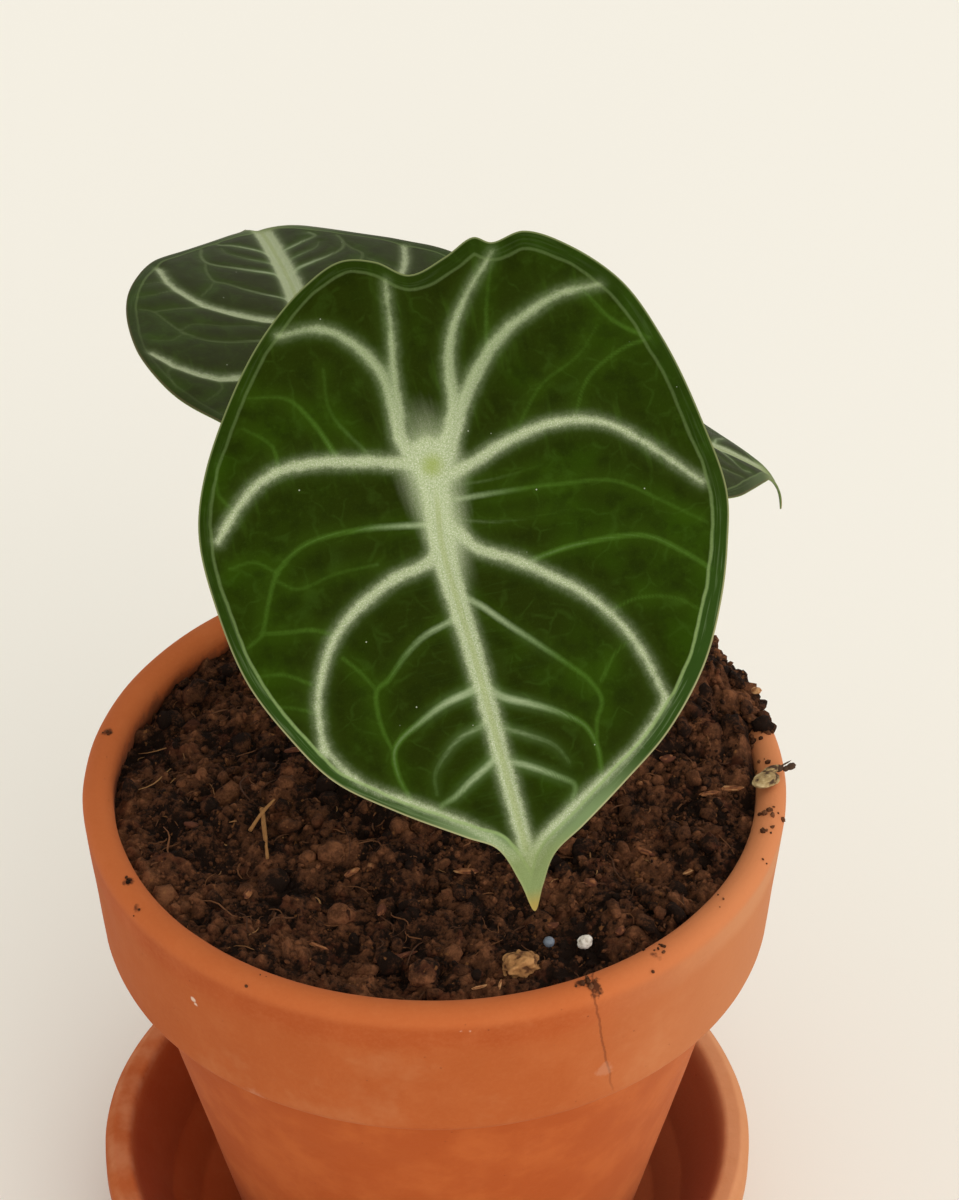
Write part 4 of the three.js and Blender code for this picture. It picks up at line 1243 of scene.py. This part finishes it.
def blade_sheet(name, cell):
    """The flat blade: rows from the midrib to the outline, along the side veins and between them."""
    columns = round(44 / cell)

    def main_rows(veins, first_end, last_end):
        ends = [(0, [], first_end), *((s, via, end) for s, (via, end) in zip(STATIONS, veins)),
                (LAST_STATION, [(0.4, -66)], last_end)]
        lines = (centripetal([(0, station), *via, outline_at(end)], False, 12) for station, via, end in ends)
        return [(end, spaced(line, columns + 1)) for (_, _, end), line in zip(ends, lines)]

    right = main_rows(RIGHT_ROWS, 0, TIP_INDEX)
    left = main_rows(LEFT_ROWS, len(OUTLINE), TIP_INDEX)
    counts = [max(round(max(np.hypot(*(a[1] - b[1]).T).max() for a, b in pair) / cell), 2)
              for pair in zip(zip(right, right[1:]), zip(left, left[1:]))]

    def filled(rows):
        every = [rows[0]]
        for (end_a, a), (end_b, b), count in zip(rows, rows[1:], counts):
            for k in range(1, count):
                share = k / count
                end = end_a + (end_b - end_a) * share
                line = a + (b - a) * share
                bow = outline_at(end) - line[-1]
                every.append((end, line + bow * np.linspace(0, 1, columns + 1)[:, None] ** 2))
            every.append((end_b, b))
        return every

    rows = filled(right) + filled(left)[::-1][1:]
    piece = grid(name, len(rows) - 1, columns)
    points = np.array([line for _, line in rows]).transpose(1, 0, 2).reshape(-1, 2)
    set_places(piece, np.c_[points, np.zeros(len(points))])
    phase = np.array([math.sin(MARGIN_WAVES * math.atan2(line[-1][1], line[-1][0]) + 1) for _, line in rows])
    share = np.linspace(0, 1, columns + 1)
    keep(piece, "ripple", (share[:, None] ** 4 * phase[None, :]).ravel())
    welded(piece, 0.004)
    if sum(face.normal.z * face.area for face in piece.data.polygons) < 0:
        with editing(piece):
            bpy.ops.mesh.flip_normals()
    return piece


def blade_bent(x, y, height, bend):
    """Points of the bent blade, off its plane by a height. The drip tip curls down round an arc."""
    down = np.minimum(y, 0)
    arch = (-bend["across"] * x * x - bend["along"] * down * down + bend["twist"] * x * y) / 100
    fold = bend["fold"] * (np.hypot(x, FOLD_WIDTH) - FOLD_WIDTH) / 10
    past = np.maximum(0, DRIP_START - y)
    radius = DRIP_LENGTH / math.radians(bend["curl"])
    turn = past / radius
    rise = np.stack([np.zeros_like(turn), -np.sin(turn), np.cos(turn)], axis=1)
    along, level = y + past - radius * np.sin(turn), arch + fold - radius * (1 - np.cos(turn))
    points = np.stack([x, along, level], axis=1)
    return points + rise * height[:, None]


def vein_fields(flat, outline, veins):
    """Depth in the pale veins and in the thin ones, and distance from the margin and from the midrib."""
    def drawn(veins, crest=0.0):
        for stops, root, tip in veins:
            line = centripetal(stops, False, 7)
            run = np.linspace(0, 1, len(line)) ** 0.8
            yield depth_in(flat, line, root + (tip - root) * run, crest=crest)

    total = np.zeros(len(flat))
    for depth in drawn(veins):
        total += np.exp(VEIN_BLEND * np.clip(depth, -6, 4))
    haze = 2.6 - np.hypot(flat[:, 0] * 1.1, (flat[:, 1] - 1) * 0.9)
    total += np.exp(VEIN_BLEND * np.clip(haze, -6, 4))
    primary = np.log(np.maximum(total, 1e-7)) / VEIN_BLEND
    thin = np.max(list(drawn(THIN_VEINS, 0.4)), axis=0)
    margin = -depth_in(flat, np.r_[outline, outline[:1]], np.zeros(len(outline) + 1), 60.0)
    axis = depth_in(flat, centripetal(PRIMARY_VEINS[0][0], False, 7), np.zeros(43), 60.0, 0.4)
    return primary, thin, margin, axis


class ALOCASIA_OT_leaves(bpy.types.Operator):
    """Model the three quilted blades with their sunk veins"""
    bl_idname = "alocasia.leaves"
    bl_label = "Leaves"

    def execute(self, context):
        settings = context.scene.alocasia_leaf
        upper = {name: blade_material(f"blade_{name}", settings, name) for name in LEAVES}
        quilt = settings.quilt_height / MM
        for name, leaf in LEAVES.items():
            piece = blade_sheet(f"leaf_{name}", leaf["cell"])
            sheet = len(piece.data.vertices)
            apply(piece, "SOLIDIFY", thickness=BLADE_THICKNESS * MM, offset=-1, use_rim=True)
            points = places(piece)
            flat = points[:sheet, :2]
            x, y = flat.T
            outline = outline_fine(12)
            # The far leaves show a broader midrib and no pale line along their margins.
            far_veins = [(PRIMARY_VEINS[0][0], 2.4, 2.0)] + PRIMARY_VEINS[1:-2]
            veins = PRIMARY_VEINS if name == "front" else far_veins
            primary, thin, margin, axis = vein_fields(flat, outline, veins)
            primary = primary + leaf["vein"]
            ripple = kept(piece, "ripple")[:sheet] * leaf["bend"]["wave"]

            calm = smooth(margin, 0, 5)
            swell = 1 - np.exp(-np.maximum(0, -primary) / 3.0)
            drawn_in = np.exp(-np.maximum(0, -thin) / 1.1) * smooth(thin, -4, 0.2)
            relief = quilt * (swell * (0.35 + 0.65 * calm) - 0.28 * drawn_in * calm)
            relief -= VEIN_SINK * smooth(primary, -0.8, 1.6)
            mid = np.exp(-(x + 0.4) ** 2 / 0.5) * smooth(y, -66, -20) * smooth(y, 1, -6)
            relief += MIDRIB_RISE * mid
            relief += GRAIN_RISE * cloud(np.c_[flat, 0 * x], 2.6, 1.5) * calm
            inner = 2.2 + 0.8 * smooth(x, -6, 12)
            relief += MARGIN_RISE * np.exp(-((margin - inner * 0.5) / 0.9) ** 2)
            rib = RIB_HEIGHT * smooth(primary, -1.2, 1.0) * smooth(margin, 1, 8)
            thick = BLADE_THICKNESS * (0.5 + 0.5 * smooth(margin, 0, 3))

            top = blade_bent(x, y, relief + ripple, leaf["bend"])
            low = blade_bent(x, y, relief + ripple - thick - rib, leaf["bend"])
            local = np.r_[top, low]
            if leaf["mirrored"]:
                local[:, 0] *= -1
            across, back = unit(np.array(leaf["across"])), np.array(leaf["back"])
            back = unit(back - across * (back @ across))
            basis = np.stack([across, back, np.cross(across, back)])
            world = leaf["size"] * local @ basis + np.array(leaf["joint"]) + RIM_CENTRE
            set_places(piece, world)
            if leaf["mirrored"]:
                with editing(piece):
                    bpy.ops.mesh.flip_normals()
            fields = {"vein": primary, "thin": thin, "margin": margin, "axis": axis, "flat_x": x, "flat_y": y}
            for label, values in fields.items():
                keep(piece, label, np.r_[values, values])
            keep(piece, "under", np.r_[np.zeros(sheet), np.ones(sheet)])
            finished(piece, f"blade_{name}", "blade", upper[name], angle=55)
        return {"FINISHED"}


def blade_material(name, settings, leaf):
    front = leaf == "front"
    recipe = Recipe(name, specular_ior_level=0.015 if front else 0.08, sheen_weight=0.0)
    x, y = recipe.number("flat_x"), recipe.number("flat_y")
    vein, thin, margin = recipe.number("vein"), recipe.number("thin"), recipe.number("margin")
    at = recipe.vector(x, y, 0.0)

    def stretched(scale):
        return recipe.combined("MULTIPLY", at, scale)

    patches = recipe.noise(at, 15, 2, 0.5)
    cloudy = recipe.noise(at, 4.5, 4, 0.6)
    grain = recipe.noise(at, 0.24, 2, 0.7)
    speck = recipe.noise(at, 0.5, 3, 0.7)
    fuzz = recipe.noise(at, 0.9, 4, 0.75)
    coarse = recipe.noise(at, 3.0, 3, 0.6)

    # Dark velvet between the veins, greener in patches and towards the margin.
    outward = abs(x + 0.5).between(8, 36)
    away = (-vein).between(0.8, 7.0)
    fresh = (patches.between(0.44, 0.66) * 0.6 + outward * 0.4) * away * (cloudy * 0.9 + 0.3)
    base = recipe.mix(fresh.least(1.0), tuple(settings.lamina_colour), "2a4403")
    base = recipe.layered(base, ((0.5 - cloudy).between(-0.02, 0.16) * 0.4, "171f02"),
                          (speck.between(0.5, 0.8) * 0.08, "4c6628"))

    # Soft stripes that hang from the side veins.
    stripes = recipe.noise(stretched((0.6, 0.11, 1)), 1.0, 2, 0.5).between(0.52, 0.72)
    base = recipe.mix(stripes * (-vein).between(5.5, 0.6) * y.between(-24, -6) * 0.3, base, "3b5614")
    combed = recipe.noise(stretched((0.16, 1.5, 1)), 1.0, 3, 0.6).between(0.5, 0.75)
    base = recipe.mix(combed * y.between(2, -8) * abs(x).between(15, 3) * 0.14, base, "3d5a22")

    # A fine net.
    warp = recipe.node("TexNoise", {}, {"Vector": at, "Scale": 0.16, "Detail": 2.0}, "Color")
    warp = recipe.combined("ADD", at, recipe.combined("MULTIPLY", warp, (9, 9, 0)))
    net = recipe.node("TexVoronoi", {"feature": "DISTANCE_TO_EDGE"}, {"Vector": warp, "Scale": 0.19},
                      "Distance")
    net = net.between(0.09, 0.0) * cloudy.between(0.42, 0.62) * (-vein).between(1, 4)
    base = recipe.mix(net * 0.13, base, "466622")

    # Thin veins: a fine line in a faint glow, paler near the midrib.
    line = (thin + (fuzz - 0.5) * 0.25).between(-0.22, 0.42) ** 1.5 * (0.65 + speck * 0.7)
    glow = (thin + (coarse - 0.5) * 1.4).between(-2.4, 0.5)
    inward = abs(x).between(15, 2) * 0.8 + thin.between(0.2, 0.5) * 0.45
    base = recipe.mix(glow * 0.16, base, "40600f")
    paler = glow * thin.between(-1.3, 0.3) * abs(x).between(14, 1) * y.between(-26, -36)
    base = recipe.mix(paler * 0.3, base, "6c8450")
    line_colour = recipe.mix(inward.least(1.0), rgb("4b6d22" if front else "5f6e44"), "a9b88e")
    base = recipe.mix(line.least(1.0) * 0.66, base, line_colour)

    # The haze over the stalk, drawn out towards the sinus.
    above = y - 1.0
    reach = recipe.vector(x * 0.19, above.most(0.0) * 0.1 + above.least(0.0) * 0.2, 0.0)
    haze = recipe.length(reach)
    rays = recipe.noise(stretched((1.3, 0.14, 1)), 1.0, 3, 0.7)
    haze = (haze + (rays - 0.5) * 0.28).between(1.15, 0.05)

    # Broad veins: a frosted band that fades out in soft fuzz.
    edge = vein + (fuzz - 0.5) * 0.8 + (coarse - 0.5) * 0.8
    halo = edge.between(-3.2, 0.4)
    band = edge.between(-1.9, 0.5) ** 1.7 * 0.36 + edge.between(-0.5, 0.6) * 0.62
    frost = recipe.mix(grain.between(0.3, 0.7), "9aa97a", tuple(settings.vein_colour))
    # The frost is speckled paler and darker by its cells' own grain; its whitest specks are painted glints,
    # the sparkle of the cells.
    frost = recipe.layered(frost, (grain.between(0.6, 0.74) * 0.75, "e8ebd8"),
                           (speck.between(0.5, 0.36) * 0.3, "7c9056"))
    upper = y.between(3, 15)
    frost = recipe.mix(upper * 0.4, frost, "93a473")
    middle = recipe.number("axis")
    lines = (middle + (speck - 0.5) * 0.2).between(-0.4, -0.05) * y.between(-2, -8)
    frost = recipe.mix(lines * 0.45, frost, "9aa566")
    base = recipe.layered(base, (halo * 0.28, "46611f"), (haze * 0.6, frost))
    beside = abs(x + 0.3) / (y.between(-18, 1) * 2.4 + 3.2) + (rays - 0.5) * 0.22
    bleached = beside.between(1.25, 0.0) * y.between(-22, -12) * y.between(5, 0)
    base = recipe.layered(base, (bleached * 0.92, frost),
                          (band * (0.82 + speck * 0.2) * (1.0 - upper * 0.16), frost))

    # The vein along the margin, and the green band outside it with its pale edge.
    inner = 2.0 + x.between(-8, 14) * 0.75
    wander = margin + (recipe.noise(at, 8, 2) - 0.5) * 1.1
    low = y.between(2, -44)
    tail = y.between(-52, -61)
    rim_band = (wander - inner).between(0.3, -0.3)
    along = recipe.noise(recipe.vector(margin * 2.6, x * 0.1, y * 0.1), 1.0, 2, 0.6)
    band_shade = recipe.mix((low * 0.75 + cloudy * 0.2).least(1.0), "263c0a", "30491a")
    band_shade = recipe.layered(band_shade, (tail * 0.7, "8ea371"),
                                (along.between(0.52, 0.68) * (0.12 + low * 0.23), "84986a"))
    share = 1.0 if front else 0.35
    base = recipe.mix(rim_band * (0.35 + low * 0.5) * (1.0 - band * 0.5) * share, base, band_shade)
    seam = abs(wander - inner).between(0.4, 0.08)
    base = recipe.mix(seam * (0.16 + low * 0.49) * (0.6 + speck * 0.8) * share, base, "8fa668")
    lip = recipe.mix(low, "848c5c", "b3ae7f") if front else "5f5638"
    base = recipe.mix(margin.between(0.38, 0.12) * 0.7, base, lip)

    # The drip tip turns olive and then straw-coloured.
    base = recipe.layered(base, (y.between(-61, -66) * 0.7, recipe.mix(grain, "6d7c40", "98a370")),
                          (y.between(-70, -73.5) * 0.85, "a78d48"))

    # The green spot where the stalk joins.
    radial = recipe.length(at)
    base = recipe.mix((radial + (fuzz - 0.5) * 1.6).between(2.8, 0.3) * 0.7, base, "8c9b42")

    # Dust: a few pale specks.
    dust = recipe.specks(at, 3.6, 0.17) * recipe.noise(at, 3, 1).between(0.5, 0.58)
    base = recipe.mix(dust * 0.65, base, "c4c8b2")

    # Painted sheen: the far leaves, seen at a grazing angle, are greyed to stand for the sheen of the light
    # on them.
    if not front:
        base = recipe.mix(0.16, base, "453c24")

    under = recipe.number("under").between(0.4, 0.6)
    below = recipe.mix(halo, "6d8247", "9cab76")
    base = recipe.mix(under, base, below)
    relief = recipe.bump(grain * 0.4 + fuzz * 0.6, 0.1, 0.6)
    return recipe.done(base_color=base, roughness=0.55 + band * 0.2, normal=relief)


class ALOCASIA_OT_stalks(bpy.types.Operator):
    """Model the leaf stalks and the corm that they grow from"""
    bl_idname = "alocasia.stalks"
    bl_label = "Stalks"

    def execute(self, context):
        recipe = Recipe("stalk", specular_ior_level=0.35)
        at = recipe.place((1, 1, 0.22))
        streaks = recipe.noise(at, 1.1, 4, 0.6)
        height = recipe.axis(recipe.place(), "Z")
        base = recipe.mix(streaks.between(0.35, 0.7), "58722f", "7f9650")
        mottle = recipe.noise(recipe.place((1, 1, 0.6)), 2.2, 3, 0.6).between(0.56, 0.66)
        base = recipe.layered(base, (mottle * 0.5, "6b4a34"), (height.between(150, 118) * 0.55, "7d5a45"))
        stalk = recipe.done(base_color=base, roughness=0.5, normal=recipe.bump(streaks, 0.15, 0.6))
        for name, leaf in LEAVES.items():
            up = unit(np.cross(leaf["across"], leaf["back"]))
            end = np.array(leaf["joint"]) - up * (BLADE_THICKNESS + VEIN_SINK) * leaf["size"]
            points = [*np.array(leaf["stalk"]), end - up * 4.6 * leaf["size"], end] + RIM_CENTRE
            share = 0.75 + 0.25 * leaf["size"]
            radii = [share * (PETIOLE_FOOT_R + (PETIOLE_TOP_R - PETIOLE_FOOT_R) * min(1, t * 1.25))
                     for t in np.linspace(0, 1, 9)]
            piece = swept(f"stalk_{name}", points, radii, 24, 90, 0.12)
            finished(piece, f"petiole_{name}", "petiole", stalk)

        body = spun("corm_body", CORM_OUTLINE, False, 72, 0.7)
        points = places(body)
        ringed = 0.3 * np.sin(points[:, 2] * 2.4 + 1.5 * cloud(points, 6)) + 0.45 * cloud(points, 3)
        push_out(points, ringed, 3)
        points[:, 2] += 0.35 * cloud(points, 2.2, 5.0) * (points[:, 2] > -20)
        set_places(body, points + RIM_CENTRE)
        parts = [body]
        for angle, reach, drop in ROOTS:
            c, s = math.cos(math.radians(angle)), math.sin(math.radians(angle))
            line = [np.array([out * c, out * s, -down]) + RIM_CENTRE
                    for out, down in ((3, 15), (reach / 2, 22), (reach, drop))]
            parts.append(swept("root", line, [ROOT_R, ROOT_R / 2], 12, 30, 0.15))
        corm = joined(parts, "corm_fine")
        keep(corm, "tone", np.full(len(corm.data.vertices), 0.5))
        finished(corm, "corm", "corm", bark_material("corm_skin", "3d2a1a", "6d5636", "94805a"), angle=50)
        return {"FINISHED"}


# Stage

class ALOCASIA_OT_stage(bpy.types.Operator):
    """Set up the pale floor, the soft lights and the camera"""
    bl_idname = "alocasia.stage"
    bl_label = "Stage"

    def execute(self, context):
        settings = context.scene.alocasia_stage
        scene = context.scene
        deselect()
        bpy.ops.mesh.primitive_plane_add(size=FLOOR_SIZE)
        floor = added("floor")
        recipe = Recipe("floor", roughness=0.9, specular_ior_level=0.1)
        tint = recipe.noise(recipe.place(), 400, 2)
        colour = tuple(settings.floor_colour)
        paint = recipe.done(base_color=recipe.mix(tint * 0.04, colour, "ffffff"))
        floor.data.materials.append(paint)

        world = bpy.data.worlds.new("studio")
        scene.world = world
        world.use_nodes = True
        sky = world.node_tree.nodes["Background"]
        sky.inputs["Color"].default_value = SKY_COLOUR
        sky.inputs["Strength"].default_value = settings.sky_strength

        strengths = {"side_light": settings.side_strength, "front_light": settings.front_strength}
        for name, light in LIGHTS.items():
            azimuth, height = math.radians(light["azimuth"]), math.radians(light["height"])
            towards = Vector((math.sin(azimuth) * math.cos(height), -math.cos(azimuth) * math.cos(height),
                              math.sin(height)))
            bpy.ops.object.light_add(type="SUN", location=towards * 2)
            lamp = context.object
            lamp.name = name
            lamp.data.energy = strengths[name]
            lamp.data.angle = math.radians(light["spread"])
            lamp.data.color = light["colour"]
            lamp.rotation_euler = towards.to_track_quat("Z", "Y").to_euler()

        tilt = math.pi / 2 - math.radians(CAMERA["pitch"])
        bpy.ops.object.camera_add(location=CAMERA["place"], rotation=(tilt, 0, 0))
        camera = context.object
        camera.name = "camera"
        camera.data.lens = CAMERA["lens"]
        camera.data.sensor_width = CAMERA["sensor"]
        camera.data.sensor_fit = "AUTO"
        camera.data.clip_start = 0.01
        scene.camera = camera
        scene.view_settings.view_transform = "Standard"
        return {"FINISHED"}


class ALOCASIA_PT_panel(bpy.types.Panel):
    """Lists the pieces of the potted alocasia and their settings"""
    bl_label = "Alocasia"
    bl_idname = "ALOCASIA_PT_panel"
    bl_space_type = "VIEW_3D"
    bl_region_type = "UI"
    bl_category = "Alocasia"

    def draw(self, context):
        layout = self.layout
        for operator in OPERATORS:
            layout.operator(operator.bl_idname)
        for group in GROUPS:
            for label in group.__annotations__:
                layout.prop(getattr(context.scene, group_name(group)), label)


OPERATORS = (ALOCASIA_OT_stage, ALOCASIA_OT_saucer, ALOCASIA_OT_pot, ALOCASIA_OT_soil, ALOCASIA_OT_crumbs,
             ALOCASIA_OT_fibres, ALOCASIA_OT_bits, ALOCASIA_OT_stalks, ALOCASIA_OT_leaves)
GROUPS = (ClayProperties, SoilProperties, LeafProperties, StageProperties)


def group_name(group):
    return "alocasia_" + group.__name__.removesuffix("Properties").lower()


def register():
    for group in GROUPS:
        bpy.utils.register_class(group)
        setattr(bpy.types.Scene, group_name(group), PointerProperty(type=group))
    for item in (*OPERATORS, ALOCASIA_PT_panel):
        bpy.utils.register_class(item)


def unregister():
    for item in (ALOCASIA_PT_panel, *reversed(OPERATORS)):
        bpy.utils.unregister_class(item)
    for group in reversed(GROUPS):
        delattr(bpy.types.Scene, group_name(group))
        bpy.utils.unregister_class(group)


def main():
    register()
    bpy.ops.alocasia.stage()
    bpy.ops.alocasia.saucer()
    bpy.ops.alocasia.pot()
    bpy.ops.alocasia.soil()
    bpy.ops.alocasia.crumbs()
    bpy.ops.alocasia.fibres()
    bpy.ops.alocasia.bits()
    bpy.ops.alocasia.stalks()
    bpy.ops.alocasia.leaves()
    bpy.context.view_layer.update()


if __name__ == "__main__":
    main()
